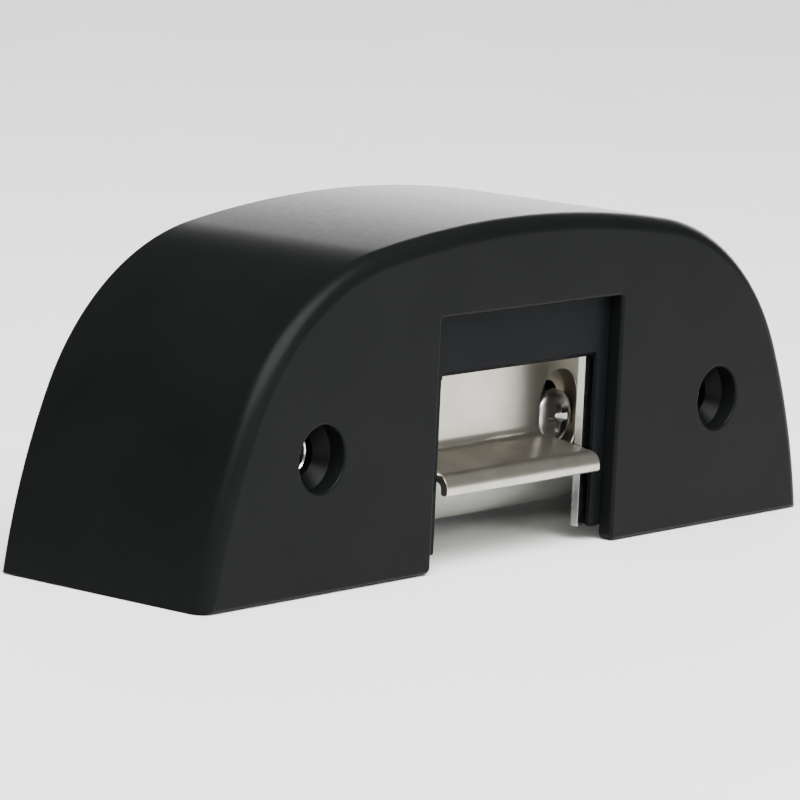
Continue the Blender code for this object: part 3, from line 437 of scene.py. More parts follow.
def notch_tool(radius=0.5, corner=0.9, top_corner=0.5):
    """The notch and everything below the base, flaring towards the front by the edge rounding."""
    past_ends, past_back = 90.0, 60.0
    layers = [(radius + 0.4, -2.0)]
    for i in range(7):
        a = radians(90 * i / 6)
        layers.append((radius * (1 - sin(a)), radius * (1 - cos(a))))
    layers.append((0.0, 8.0))
    layers.append((0.0, past_back))
    outlines = []
    for flare, depth in layers:
        base = min(flare, corner - 0.05)
        half = [(past_ends, -12.0), (past_ends, base)]
        half += arc((NOTCH_HALF + corner, corner), corner - base, -90, -180, 8)
        half += arc((NOTCH_HALF - top_corner, NOTCH_TOP - top_corner), top_corner + flare, 0, 90, 6)
        outlines.append((half + [(-x, z) for x, z in reversed(half)], depth))
    return stacked("notch tool", outlines)


cover = shell()
inside_front = 1.2                             # joined pieces start inside the front wall
for side in (-1, 1):
    boss = [(0, inside_front), (6.5, inside_front), (6.5, 6.4), (5.0, 9.0), (5.0, MECHANISM_BACK),
            (0, MECHANISM_BACK)]
    join(cover, revolved("boss", boss, at(side * FIX_X, 0, FIX_Z), "depth"))
    for x, z in POSTS:
        join(cover, bar("post", 3.0, at(side * x, inside_front, z), at(side * x, MECHANISM_BACK, z)))
        wall_z = (z, z + 8) if z > 20 else (z - 0.8, z + 0.8)
        wall_x = (x - 0.8, x + 0.8) if z > 20 else (x, x + 8)
        rib = block("rib", sorted((side * wall_x[0], side * wall_x[1])), (inside_front, 26), wall_z)
        limit = extruded("rib limit", arch(WALL * 0.6, -4.0), "front", 0.6, 33)
        shaped(rib, [limit], "INTERSECT")
        join(cover, baked(rib))
cover = baked(cover)
well_r, edge_r, screw_hole_r, sleeve_hole_r = 4.55, 0.35, 3.0, 3.8
for side in (-1, 1):
    mouth = [(well_r + edge_r - sqrt(max(0, edge_r ** 2 - (edge_r - d) ** 2)), d) for d in
             (0.0, 0.05, 0.12, 0.22, edge_r)]
    well = ([(0, -2), (well_r + 0.4, -2)] + mouth + [(well_r, 2.6), (screw_hole_r, 4.4),
            (screw_hole_r, SLEEVE_SEAT), (sleeve_hole_r, SLEEVE_SEAT), (sleeve_hole_r, 40), (0, 40)])
    cut(cover, revolved("well", well, at(side * FIX_X, 0, FIX_Z), "depth"))
    for x, z in POSTS:
        cut(cover, bar("pilot", 1.5, at(side * x, 22, z), at(side * x, 40, z)))
cut(cover, notch_tool())
finished(cover, "cover casting", BLACK, "housing", ["cover"], angle=30)

# %% [markdown]
# ## Sleeves in the screw bosses
#
# The installer's long screws would crush a hollow casting, so each boss is lined with a
# cut length of steel tube. A little of its bright end shows at the bottom of the screw well.

# %% Fixing sleeves
for side, tag in ((-1, "left"), (1, "right")):
    ring = [(3.4, SLEEVE_SEAT + 0.3), (3.6, SLEEVE_SEAT + 0.5), (3.6, MECHANISM_BACK - 0.2),
            (3.4, MECHANISM_BACK), (2.9, MECHANISM_BACK), (2.75, MECHANISM_BACK - 0.15),
            (2.75, SLEEVE_SEAT + 0.45), (2.9, SLEEVE_SEAT + 0.3)]
    sleeve = revolved("sleeve", ring, at(side * FIX_X, 0, FIX_Z), "depth")
    finished(sleeve, f"fixing sleeve {tag}", ZINC, "housing",
             [f"fixing_sleeve_{tag}"])

# %% [markdown]
# ## Black surround
#
# A painted sheet fills the notch round the keeper's window. Its rim stands forward into the notch,
# and its flange lies behind the cover's front wall. The flange's window is the wider one, so only the
# thin rim shows. The lintel's lower edge is bevelled so that the keeper can swing up past it.

# %% Surround
def inverted_u(half, low, top, window_half, window_top):
    return [(-half, low), (-window_half, low), (-window_half, window_top), (window_half, window_top),
            (window_half, low), (half, low), (half, top), (-half, top)]


flange = extruded("surround", rounded(inverted_u(23.5, 1.9, 37.6, 18.4, 26.5),
                                      [0.4, 0.3, 0.5, 0.5, 0.3, 0.4, 1.5, 1.5]), "front", 2.5, 3.1)
rim = extruded("rim", rounded(inverted_u(19.7, 2.0, 34.7, 17.2, 26.1),
                              [0.3, 0.3, 0.15, 0.15, 0.3, 0.3, 0.5, 0.5]), "front", 2.0, 2.6)
bevel = extruded("bevel", [(1.0, 25.1), (3.0, 26.0), (1.8, 27.2), (1.0, 27.2)], "side", -17.0, 17.0)
surround = baked(cut(join(flange, rim), bevel))
soften(surround, 0.14)
finished(surround, "keeper surround", BLACK_SHEET, "housing", ["surround"])

# %% [markdown]
# ## Strike frame
#
# The frame is one strip of zinc-plated steel. It is punched flat and then bent: the front plate has the
# window, the cheeks go back at each side and carry the keeper's pin, and a foot on each cheek takes a
# screw. Drawing the bent strip as one outline seen from above gives it true bend radii.

# %% Strike frame
def bent_strip(points, thickness, radius):
    """The outline of a bent strip, from the line along its outer face and the inner bend radius."""
    line = [Vector(p) for p in points]
    inner, bends = [], []
    for i, here in enumerate(line):
        before = (here - line[i - 1]).normalized() if i else (line[1] - here).normalized()
        after = (line[i + 1] - here).normalized() if i < len(line) - 1 else before
        n1, n2 = Vector((-before.y, before.x)), Vector((-after.y, after.x))
        inner.append(tuple(here + (n1 + n2) * thickness / (1 + n1.dot(n2))))
        bends.append(before.x * after.y - before.y * after.x)
    outer_r = [0.05 if b == 0 else (radius + thickness if b > 0 else radius) for b in bends]
    inner_r = [0.05 if b == 0 else (radius if b > 0 else radius + thickness) for b in bends]
    return rounded(points + inner[::-1], outer_r + inner_r[::-1])


FRONT, SHEET, FRAME_HALF, FRAME_TOP = 3.4, 1.2, 26.4, 34.8
FOOT = MECHANISM_BACK - SHEET
strip = bent_strip([(-32.4, FOOT), (-FRAME_HALF, FOOT), (-FRAME_HALF, FRONT), (FRAME_HALF, FRONT),
                    (FRAME_HALF, FOOT), (32.4, FOOT)], SHEET, 0.5)
strike = extruded("strike", strip, "top", 1.9, FRAME_TOP)
cut(strike, extruded("window", rounded([(-16.4, -3), (16.4, -3), (16.4, 27), (-16.4, 27)], 0.5),
                     "front", 0, 8))
for side in (-1, 1):
    low = [(6.2, -2), (40, -2), (40, 22), (FOOT - 0.6, 22), (24, 17.5), (6.2, 17.5)]
    high = [(30.5, 40), (30.5, 35.5), (FOOT - 0.3, 33.8), (40, 33.8), (40, 40)]
    x = sorted((side * 20, side * 34))
    cut(strike, extruded("below", rounded(low, [0, 0, 0, 1.0, 2.0, 1.5]), "side", *x),
        extruded("above", high, "side", *x),
        bar("foot hole", 1.6, at(side * 29.6, 30, 28), at(side * 29.6, 36, 28)))
    cut(strike, block("foot low", sorted((side * 27.0, side * 34)), (30, 36), (20, 22.5)))
cut(strike, bar("pin hole", 2.08, at(-30, 17.3, 29.5), at(30, 17.3, 29.5), 64),
    bar("tie hole", 1.6, at(-30, 29.5, 32.5), at(30, 29.5, 32.5)))
soften(strike, 0.12)
finished(strike, "strike frame", ZINC, "housing", ["strike_frame"])

# %% [markdown]
# ## Keeper
#
# The keeper is the piece that holds the bolt. It is made of nickel-plated sintered steel, so its edges
# are soft all over. Its section is an upright plate, a shelf that slopes up to it, and a lip that rolls
# down at the front, so that a closing bolt rides over it. Beside the shelf are two stepped slots. The
# outline is drawn from the side, and the front corners of the shelf are rounded seen from above.

# %% Keeper
PIVOT, PIVOT_Z, KEEPER_FRONT, KEEPER_BACK, KEEPER_TOP = 17.3, 29.5, 10.0, 13.4, 26.0
SHELF_HALF, LIP_HALF, EAR_HALF, SLOT_X, SCREW_Z = 16.2, 16.9, 24.4, 19.4, 16.3
RISE = 0.16


def keeper_section():
    """The keeper from the side, as (depth, z) points: upright plate, sloping shelf and rolled lip."""
    skin, nose, nose_z, nose_r, root = 1.15, 0.3, 11.0, 2.2, 1.8
    lean = degrees(RISE)
    lip = arc((nose + nose_r, nose_z), nose_r, 90 + lean, 180, 16)
    inside = arc((nose + nose_r, nose_z), nose_r - skin, 180, 90 + lean, 10)
    back = lip[0][1] + RISE * (KEEPER_FRONT - root - lip[0][0])
    corner = arc((KEEPER_FRONT - root, back + root), root, 0, lean - 90, 10)
    under = back - skin + RISE * root
    return ([(KEEPER_FRONT, KEEPER_TOP)] + corner + lip
            + [(nose, 10.45), (nose + 0.25, 10.2), (nose + skin - 0.25, 10.2), (nose + skin, 10.45)]
            + inside + [(KEEPER_FRONT - 0.4, under - 0.06), (KEEPER_FRONT, under),
                        (KEEPER_BACK, under), (KEEPER_BACK, KEEPER_TOP)])


def slot_outline(half, low, high, x):
    return arc((x, high - half), half, 0, 180, 28) + arc((x, low + half), half, 180, 360, 28)


keeper = extruded("keeper", keeper_section(), "side", -LIP_HALF, LIP_HALF)
plan = [(-LIP_HALF, -1), (LIP_HALF, -1), (LIP_HALF, 3.05), (SHELF_HALF, 3.05), (SHELF_HALF, 20),
        (-SHELF_HALF, 20), (-SHELF_HALF, 3.05), (-LIP_HALF, 3.05)]
ends = [(-LIP_HALF, 0), (LIP_HALF, 0), (LIP_HALF, 12.5), (LIP_HALF - 0.2, 12.95), (SHELF_HALF, 13.2),
        (SHELF_HALF, 40), (-SHELF_HALF, 40), (-SHELF_HALF, 13.2), (0.2 - LIP_HALF, 12.95),
        (-LIP_HALF, 12.5)]
shaped(keeper, [extruded("plan", plan, "top", 0, 40), extruded("ends", ends, "front", -2, 20)],
       "INTERSECT")
keeper = soften(keeper, 0.28, 3, 40)
for side in (-1, 1):
    ear = extruded("ear", rounded([(side * (SHELF_HALF - 0.9), 9.5), (side * EAR_HALF, 9.5),
                                   (side * EAR_HALF, KEEPER_TOP - 0.02),
                                   (side * (SHELF_HALF - 0.9), KEEPER_TOP - 0.02)], [0, 1.0, 1.0, 0]),
                   "front", KEEPER_FRONT + 0.01, KEEPER_BACK - 0.01)
    join(keeper, soften(ear, 0.2, 3, 40))
keeper = baked(keeper)
slot_half, slot_low, slot_high, step, through_half = 4.2, 10.6, 23.2, 1.8, 2.4
flares = [(0.25, 9.0), (0.25, 10.0), (0.13, 10.05), (0.04, 10.15), (0.0, 10.35), (0.0, 12.4)]
for side in (-1, 1):
    outlines = [(slot_outline(slot_half + f, slot_low - f, slot_high + f, side * SLOT_X), depth)
                for f, depth in flares]
    through = slot_outline(through_half, slot_low + step, slot_high - step, side * SLOT_X)
    cut(keeper, stacked("stepped slot", outlines), extruded("slot through", through, "front", 11, 15))
finished(keeper, "keeper with rolled lip", NICKEL, "keeper_set", ["keeper"], angle=32)

# %% [markdown]
# ## Screws with cross recesses
#
# A cross recess is four tapering wings round a small cone, formed by a punch. The pan head is a low
# dome with a rounded rim. The shank carries a helical thread, which the turned profile gets by raising
# its radius along a spiral.

# %% Screws
def cross_recess(x, z, front, back_to_front, reach, half, depth):
    """The punch for a cross recess in a head that faces the front, or the back."""
    way = -1 if back_to_front else 1
    wings = []
    for turn in (0, 90):
        outline = [(-reach, -half), (reach, -half), (reach, half), (-reach, half)]
        inner = [(-reach * 0.45, -half * 0.7), (reach * 0.45, -half * 0.7),
                 (reach * 0.45, half * 0.7), (-reach * 0.45, half * 0.7)]
        rows = [(outline, front - way * 1.0), (outline, front), (inner, front + way * depth)]
        vertices = []
        for line, d in rows:
            for a, b in line:
                u, v = (a, b) if turn == 0 else (b, -a)
                vertices.append(at(x + u, d, z + v))
        faces = [(r * 4 + i, r * 4 + (i + 1) % 4, (r + 1) * 4 + (i + 1) % 4, (r + 1) * 4 + i)
                 for r in range(2) for i in range(4)] + [(0, 1, 2, 3), (11, 10, 9, 8)]
        wings.append(new_thing("wing", vertices, faces))
    cone = revolved("cone", sorted([(0, front - way), (half * 1.9, front - way), (half * 1.9, front),
                                    (0, front + way * depth * 1.1)], key=lambda p: p[1]),
                    at(x, 0, z), "depth", 24)
    return wings + [cone]


for side, tag in ((-1, "left"), (1, "right")):
    front, seat, tip = 9.9, 12.1, 17.2
    dome = [(0.0, front)] + [(3.95 * sin(radians(a)), front + 1.2 * (1 - cos(radians(a))))
                             for a in range(8, 91, 6)]
    dome += [(3.95, front + 1.5), (3.88, seat - 0.12), (3.75, seat), (2.1, seat), (1.95, seat + 0.15),
             (1.95, tip - 0.5), (1.6, tip), (0.0, tip)]
    screw = revolved("pan head", dome, at(side * SLOT_X, 0, SCREW_Z), "depth", 72,
                     thread=(seat + 0.4, tip - 0.5, 0.7, 0.38))
    cut(screw, *cross_recess(side * SLOT_X, SCREW_Z, front + 0.02, False, 2.25, 0.5, 1.5))
    finished(screw, f"keeper screw {tag}", SCREW, "keeper_set",
             [f"keeper_screw_{tag}"], angle=28)

PLATE_SCREWS = ([(f"back_plate_screw_{i + 1}", side * x, z, 10.0)
                 for i, (side, (x, z)) in enumerate((s, p) for s in (-1, 1) for p in POSTS)]
                + [("frame_screw_left", -29.6, 28.0, 3.2), ("frame_screw_right", 29.6, 28.0, 3.2),
                   ("pole_screw_left", -14.3, 17.5, 3.2), ("pole_screw_right", 33.5, 17.5, 3.2)])
for node_name, x, z, length in PLATE_SCREWS:
    back = PLATE_BACK - 0.15
    tip, head = back - length, back - 1.35
    body = [(0, tip), (0.7, tip), (1.25, tip + 0.5), (1.25, head), (2.6, back - 0.2), (2.75, back - 0.1),
            (2.7, back), (0, back)]
    screw = revolved("countersunk", body, at(x, 0, z), "depth", 40,
                     thread=(tip + 0.5, head - 0.05, 0.5, 0.2))
    cut(screw, *cross_recess(x, z, back - 0.02, True, 1.45, 0.32, 1.0))
    finished(screw, node_name.replace("_", " "), SCREW, "housing", [node_name])

# %% [markdown]
# ## Carrier, pin and rings
#
# The keeper is bolted to a carrier, and the carrier turns on the pin through two barrels. The tail that
# stands out at the back is what the armature's nose blocks. Its tip is thin, so that it clears the nose
# when the keeper is open. Spring rings in grooves keep the pin in.

# %% Carrier and its pin
BARREL_IN, TAIL_LOW, TAIL_TIP, TAIL_STEP = 12, 27.5, 27.2, 25.3
tip_top = TAIL_LOW + 1.0                       # the thin tip passes under the armature's nose
carrier = extruded("carrier", rounded([(-EAR_HALF, 13), (EAR_HALF, 13), (EAR_HALF, PIVOT_Z),
                                       (BARREL_IN, PIVOT_Z), (BARREL_IN, 24), (-BARREL_IN, 24),
                                       (-BARREL_IN, PIVOT_Z), (-EAR_HALF, PIVOT_Z)],
                                      [0.8, 0.8, 0, 0, 1.2, 1.2, 0, 0]), "front", 13.7, 15.9)
for side in (-1, 1):
    low_x, high_x = sorted((side * BARREL_IN, side * EAR_HALF))
    join(carrier, bar("barrel", 4.0, at(low_x, PIVOT, PIVOT_Z), at(high_x, PIVOT, PIVOT_Z), 64))
tail = rounded([(PIVOT, TAIL_LOW), (TAIL_TIP, TAIL_LOW), (TAIL_TIP, tip_top), (TAIL_STEP, tip_top),
                (TAIL_STEP, 31.0), (PIVOT, 32.5)], [0, 0.3, 0.3, 0.3, 0.6, 0])
join(carrier, extruded("tail", tail, "side", 18, EAR_HALF - 0.01))
carrier = baked(carrier)
cut(carrier, bar("bore", 2.08, at(-30, PIVOT, PIVOT_Z), at(30, PIVOT, PIVOT_Z), 64),
    bar("tapped left", 2.3, at(-SLOT_X, 12, SCREW_Z), at(-SLOT_X, 18, SCREW_Z)),
    bar("tapped right", 2.3, at(SLOT_X, 12, SCREW_Z), at(SLOT_X, 18, SCREW_Z)))
finished(soften(carrier, 0.15), "keeper carrier", ZINC, "keeper_set",
         ["keeper_carrier"])

pin_half = [(0, 28.6), (1.7, 28.6), (2.0, 28.3), (2.0, 27.5), (1.5, 27.5), (1.5, 26.7), (2.0, 26.7)]
pin = revolved("pin", [(r, -along) for r, along in pin_half] + pin_half[::-1],
               at(0, PIVOT, PIVOT_Z), "x")
finished(pin, "keeper pin", SCREW, "housing", ["keeper_pin"])
for side, tag in ((-1, "left"), (1, "right")):
    ring = extruded("ring", arc((PIVOT, PIVOT_Z), 3.6, 110, 430, 40)
                    + arc((PIVOT, PIVOT_Z), 1.65, 430, 110, 30), "side", side * 27.1 - 0.25,
                    side * 27.1 + 0.25)
    finished(soften(ring, 0.06), f"pin ring {tag}", SPRING, "housing",
             [f"retaining_ring_{tag}"])
tie = revolved("tie", [(0, -26.2), (1.3, -26.2), (1.5, -26.0), (1.5, 26.0), (1.3, 26.2), (0, 26.2)],
               at(0, 29.5, 32.5), "x", 48)
finished(tie, "tie bar", SCREW, "housing", ["tie_bar"])

# %% [markdown]
# ## Coil
#
# The electromagnet is a nylon bobbin with fine copper wire on it, wrapped in pale tape. The tape runs
# round as a spiral, so each turn laps the last one with a small step, and it is pressed in over
# the ends, which rounds them. It was wound by hand, so the surface is never quite even. The shape
# is a grid wrapped round the axis whose radius takes the laps and the unevenness.

# %% Coil
COIL_DEPTH, COIL_Z, COIL_LEFT, COIL_RIGHT, COIL_R = 22.0, 8.1, -8.0, 36.0, 6.8


def tape_wrap():
    """The wound tape: a sleeve with a spiral lap, waves and a slight taper, as closed rings of points."""
    around = 144
    corner, turn_in, lap, step = 2.2, 4.2, 0.62, 0.05
    right = arc((COIL_RIGHT - corner, COIL_R - corner), corner, 0, 90, 12)
    left = arc((COIL_LEFT + corner, COIL_R - corner), corner, 90, 180, 12)
    middle = [(COIL_RIGHT - corner - (COIL_RIGHT - COIL_LEFT - 2 * corner) * i / 120, COIL_R)
              for i in range(1, 120)]
    outside = [(COIL_RIGHT, turn_in)] + right + middle + left + [(COIL_LEFT, turn_in)]
    inside = [(COIL_LEFT + lap, turn_in), (COIL_LEFT + lap, 5.4), (COIL_LEFT + corner, 6.1),
              (COIL_RIGHT - corner, 6.1), (COIL_RIGHT - lap, 5.4), (COIL_RIGHT - lap, turn_in)]
    rows = outside + inside
    random = np.random.default_rng(7)
    waves = [(random.uniform(0.1, 0.5), random.integers(1, 4), random.uniform(0, 2 * pi),
              random.uniform(0.3, 1.0)) for _ in range(7)]
    vertices = []
    for number, (x, radius) in enumerate(rows):
        for k in range(around):
            angle = 2 * pi * k / around
            r = radius
            if 0 < number < len(outside) - 1:
                turn = (x - COIL_LEFT) / 9.5 - k / around
                edge = turn % 1.0
                r -= step * (1 - min(edge / 0.06, 1.0)) if edge < 0.06 else 0.0
                r -= 0.05 * edge * 0.6 + 0.28 * max(0.0, (8.0 - (x - COIL_LEFT)) / 30)
                r -= sum(0.012 * w * (1 + sin(f * x + n * angle + p)) for f, n, p, w in waves)
            vertices.append(at(x, COIL_DEPTH + r * cos(angle), COIL_Z + r * sin(angle)))
    faces = [(r * around + k, r * around + (k + 1) % around,
              (r + 1) % len(rows) * around + (k + 1) % around, (r + 1) % len(rows) * around + k)
             for r in range(len(rows)) for k in range(around)]
    return new_thing("tape", vertices, faces)


finished(tape_wrap(), "coil tape", TAPE, "housing", ["coil_tape"], angle=50)

left, right = COIL_LEFT + 1.2, COIL_RIGHT - 1.2
bobbin = [(5.4, right), (5.4, right - 0.9), (3.3, right - 0.9), (3.3, left + 0.9), (5.4, left + 0.9),
          (5.4, left), (2.7, left), (2.7, right)]
finished(revolved("bobbin", bobbin, at(0, COIL_DEPTH, COIL_Z), "x"), "coil bobbin", NYLON, "housing",
         ["coil_bobbin"])
core = [(0, COIL_LEFT - 2.1), (2.1, COIL_LEFT - 2.1), (2.4, COIL_LEFT - 1.8), (2.4, COIL_RIGHT + 1.8),
        (2.1, COIL_RIGHT + 2.1), (0, COIL_RIGHT + 2.1)]
finished(revolved("core", core, at(0, COIL_DEPTH, COIL_Z), "x", 48), "coil core", IRON, "housing",
         ["coil_core"])
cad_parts["coil_winding"].data.materials.clear()
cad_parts["coil_winding"].data.materials.append(COPPER)

# %% [markdown]
# ## Poles and armature
#
# The core ends in two iron brackets that stand on the back plate. The armature is a bar that lies
# across both of them. It turns on a small pin at its left end, and its arm carries the nose that
# blocks the keeper's tail. The nose is chamfered below, where a closing tail would push it aside. All are
# stamped from soft iron, so their edges are only lightly rounded.

# %% Poles and armature
def pole(side):
    """The iron end plate on one side of the coil, with the holes that the coil's leads pass through."""
    tag = "right" if side > 0 else "left"
    inner = COIL_RIGHT + 0.3 if side > 0 else COIL_LEFT - 0.3
    outer = inner + side * 1.6
    outline = [(17.5, 3.5), (29.3, 3.5), (29.3, 14.5), (MECHANISM_BACK, 14.5), (MECHANISM_BACK, 20),
               (25, 20), (17.5, 14)]
    made = extruded("pole", rounded(outline, [0.8, 0.4, 0.8, 0.3, 0.3, 1.0, 1.0]), "side",
                    min(inner, outer), max(inner, outer))
    foot = [(outer - 7, 15.2), (max(inner, outer) - 0.5, 15.2), (max(inner, outer) - 0.5, 19.8),
            (outer - 7, 19.8)]
    join(made, extruded("foot", rounded(foot, [0.8, 0, 0, 0.8]), "front", MECHANISM_BACK - 1.2,
                        MECHANISM_BACK))
    holes = [bar("core hole", 2.7, at(inner - 4, COIL_DEPTH, COIL_Z), at(inner + 4, COIL_DEPTH, COIL_Z)),
             bar("screw hole", 1.6, at(outer - 4.4, 30, 17.5), at(outer - 4.4, 36, 17.5))]
    if side < 0:
        for low, high in ((3.6, 4.7), (12.6, 13.7)):
            ear = rounded([(-15, 27), (inner - 0.5, 27), (inner - 0.5, 32.8), (-15, 32.8)],
                          [1.2, 0, 0, 1.8])
            join(made, extruded("ear", ear, "top", low, high))
        holes += [bar("pin hole", 1.08, at(-12.5, 30.8, 0), at(-12.5, 30.8, 14.2)),
                  block("spring notch", (COIL_LEFT - 3, COIL_LEFT + 1), (28.6, 31), (6.5, 7.7)),
                  bar("lead hole", 0.95, at(-12, 24, 14), at(-6, 24, 14)),
                  bar("lead hole 2", 0.95, at(-12, 21, 14), at(-6, 21, 14))]
    made = cut(baked(made), *holes)
    finished(soften(made, 0.12), f"pole bracket {tag}", IRON, "housing",
             [f"pole_bracket_{tag}"])


pole(-1)
pole(1)

ARM_X, ARM_DEPTH = -12.5, 30.8
front, back = ARM_DEPTH - 1.2, ARM_DEPTH + 0.2
outline = [(ARM_X, 5.0), (38, 5.0), (38, 12.3), (25, 12.3), (25, TAIL_LOW - 0.4), (19, TAIL_LOW - 0.4),
           (19, 12.3), (ARM_X, 12.3)]
armature = extruded("armature", rounded(outline, [0, 0.8, 0.8, 1.0, 0.1, 0.1, 1.0, 0]), "front",
                    front, back)
nose = rounded([(26.0, TAIL_LOW - 0.71), (26.0, TAIL_LOW - 0.41), (back - 0.01, TAIL_LOW - 0.41),
                (back - 0.01, TAIL_LOW - 1.2), (26.6, TAIL_LOW - 1.2)], [0.1, 0.15, 0, 0, 0.2])
join(armature, extruded("nose", nose, "side", 19.01, 24.99),
     bar("knuckle", 2.2, at(ARM_X, ARM_DEPTH, 5.01), at(ARM_X, ARM_DEPTH, 12.29)))
armature = baked(armature)
cut(armature, bar("spring room", 3.0, at(ARM_X, ARM_DEPTH, 6.6), at(ARM_X, ARM_DEPTH, 10.7)),
    bar("knuckle bore", 1.08, at(ARM_X, ARM_DEPTH, 0), at(ARM_X, ARM_DEPTH, 20)))
soften(armature, 0.1)
hinge = Matrix.Translation(at(ARM_X, ARM_DEPTH, 0))
armature.data.transform(hinge @ Matrix.Rotation(radians(2.9), 4, "Z") @ hinge.inverted())
finished(armature, "armature", IRON, "armature", ["armature"])

pin = [(0, 3.3), (0.85, 3.3), (1.0, 3.45), (1.0, 13.85), (0.85, 14.0), (0, 14.0)]
finished(revolved("small pin", pin, at(ARM_X, ARM_DEPTH, 0), "z", 32), "armature hinge pin", SCREW,
         "housing", ["armature_pin"])
pad = [(0, 33.6), (2.35, 33.6), (2.5, 33.75), (2.5, MECHANISM_BACK), (0, MECHANISM_BACK)]
finished(revolved("pad", pad, at(31, 0, 8.6), "depth", 40), "armature stop pad", RUBBER, "housing",
         ["armature_stop"])

# %% [markdown]
# ## Springs and leads
#
# A spring or a lead is a round section carried along a line. One Geometry Nodes tool does this for all
# of them: it takes the line, its radius and its number of sides, sweeps a circle along it and closes the
# ends. The springs' lines are helices with a straight leg at each end, and the leads follow a
# smooth path from the coil to the terminals.

# %% Wire tool
def wire_tool():
    """The shared node group: a round section with closed ends, carried along a mesh line."""
    tree = bpy.data.node_groups.new("round wire", "GeometryNodeTree")
    face = tree.interface
    face.new_socket("Geometry", in_out="INPUT", socket_type="NodeSocketGeometry")
    sockets = {"Radius": face.new_socket("Radius", in_out="INPUT", socket_type="NodeSocketFloat"),
               "Sides": face.new_socket("Sides", in_out="INPUT", socket_type="NodeSocketInt"),
               "Finish": face.new_socket("Finish", in_out="INPUT", socket_type="NodeSocketMaterial")}
    face.new_socket("Geometry", in_out="OUTPUT", socket_type="NodeSocketGeometry")
    kinds = ("NodeGroupInput", "GeometryNodeMeshToCurve", "GeometryNodeCurvePrimitiveCircle",
             "GeometryNodeCurveToMesh", "GeometryNodeRealizeInstances", "GeometryNodeSetMaterial",
             "NodeGroupOutput")
    given, line, circle, sweep, real, painted, out = [tree.nodes.new(k) for k in kinds]
    sweep.inputs["Fill Caps"].default_value = True
    for a, b in ((given.outputs["Geometry"], line.inputs["Mesh"]),
                 (given.outputs["Radius"], circle.inputs["Radius"]),
                 (given.outputs["Sides"], circle.inputs["Resolution"]),
                 (line.outputs["Curve"], sweep.inputs["Curve"]),
                 (circle.outputs["Curve"], sweep.inputs["Profile Curve"]),
                 (sweep.outputs["Mesh"], real.inputs["Geometry"]),
                 (real.outputs["Geometry"], painted.inputs["Geometry"]),
                 (given.outputs["Finish"], painted.inputs["Material"]),
                 (painted.outputs["Geometry"], out.inputs["Geometry"])):
        tree.links.new(a, b)
    return tree, {name: socket.identifier for name, socket in sockets.items()}


WIRE_TREE, WIRE_INPUTS = wire_tool()


def wire(name, points, radius, material, sides=14):
    mesh = bpy.data.meshes.new(name)
    mesh.from_pydata([tuple(p) for p in points], [(i, i + 1) for i in range(len(points) - 1)], [])
    thing = bpy.data.objects.new(name, mesh)
    bpy.context.scene.collection.objects.link(thing)
    step = thing.modifiers.new("round wire", "NODES")
    step.node_group = WIRE_TREE
    step[WIRE_INPUTS["Radius"]] = radius
    step[WIRE_INPUTS["Sides"]] = sides
    step[WIRE_INPUTS["Finish"]] = material
    return baked(thing)


def smoothed(route, steps):
    """A smooth line through the route's points."""
    line = []
    for i in range(len(route) - 1):
        p, a, b, n = route[max(i - 1, 0)], route[i], route[i + 1], route[min(i + 2, len(route) - 1)]
        for k in range(steps):
            t = k / steps
            line.append(0.5 * (2 * a + (b - p) * t + (2 * p - 5 * a + 4 * b - n) * t ** 2
                               + (3 * a - p - 3 * b + n) * t ** 3))
    return line + [route[-1]]


# %% Springs
turns, reach, coil_r = 8 + 175 / 360, 9.0, 3.0
count = int(turns * 40)
helix = [at(-reach + 2 * reach * i / count,
            PIVOT + coil_r * cos(radians(200) + 2 * pi * turns * i / count),
            PIVOT_Z + coil_r * sin(radians(200) + 2 * pi * turns * i / count)) for i in range(count + 1)]
line = ([at(-reach, 16.7, 19), at(-reach, 16.6, 21), at(-reach, 16.55, 24)] + helix
        + [at(reach, 24, 31.0), at(reach, 31.5, 30.2)])
finished(wire("keeper spring", line, 0.35, SPRING), "keeper return spring", SPRING, "housing",
         ["keeper_spring"], angle=60)

low, high, turns, coil_r = 7.1, 10.2, 5, 1.6
count = turns * 36
helix = [at(ARM_X + coil_r * cos(radians(-90) + 2 * pi * turns * i / count),
            ARM_DEPTH + coil_r * sin(radians(-90) + 2 * pi * turns * i / count),
            low + (high - low) * i / count) for i in range(count + 1)]
line = ([at(ARM_X + 8, ARM_DEPTH - 1.1, low)] + helix + [at(ARM_X + 1.2, ARM_DEPTH - 2.1, high)])
finished(wire("armature spring", line, 0.22, SPRING, 12), "armature return spring", SPRING, "housing",
         ["armature_spring"], angle=60)

# %% Leads and terminals
TERMINALS, TERMINAL_DEPTH, BLOCK_TOP = (-31.2, -24.8), 28.0, 12.5
for number, start, x, material, slot_name in ((1, 24.0, TERMINALS[1], RED, "red_insulation"),
                                              (2, 21.0, TERMINALS[0], BLACK_WIRE, "black_insulation")):
    route = [at(COIL_LEFT - 0.2, start, 14), at(-12, start, 14), at(-17, start - 3.5, 12),
             at(x + 5, start - 5.5, 8), at(x + 0.6, 19.6, 8), at(x, 22.6, 8), at(x, 25.6, 8)]
    lead = wire("lead", smoothed(route, 14), 0.5, material, 20)
    finished(lead, f"coil lead {number}", material, "housing", [f"coil_lead_{number}"],
             angle=60)

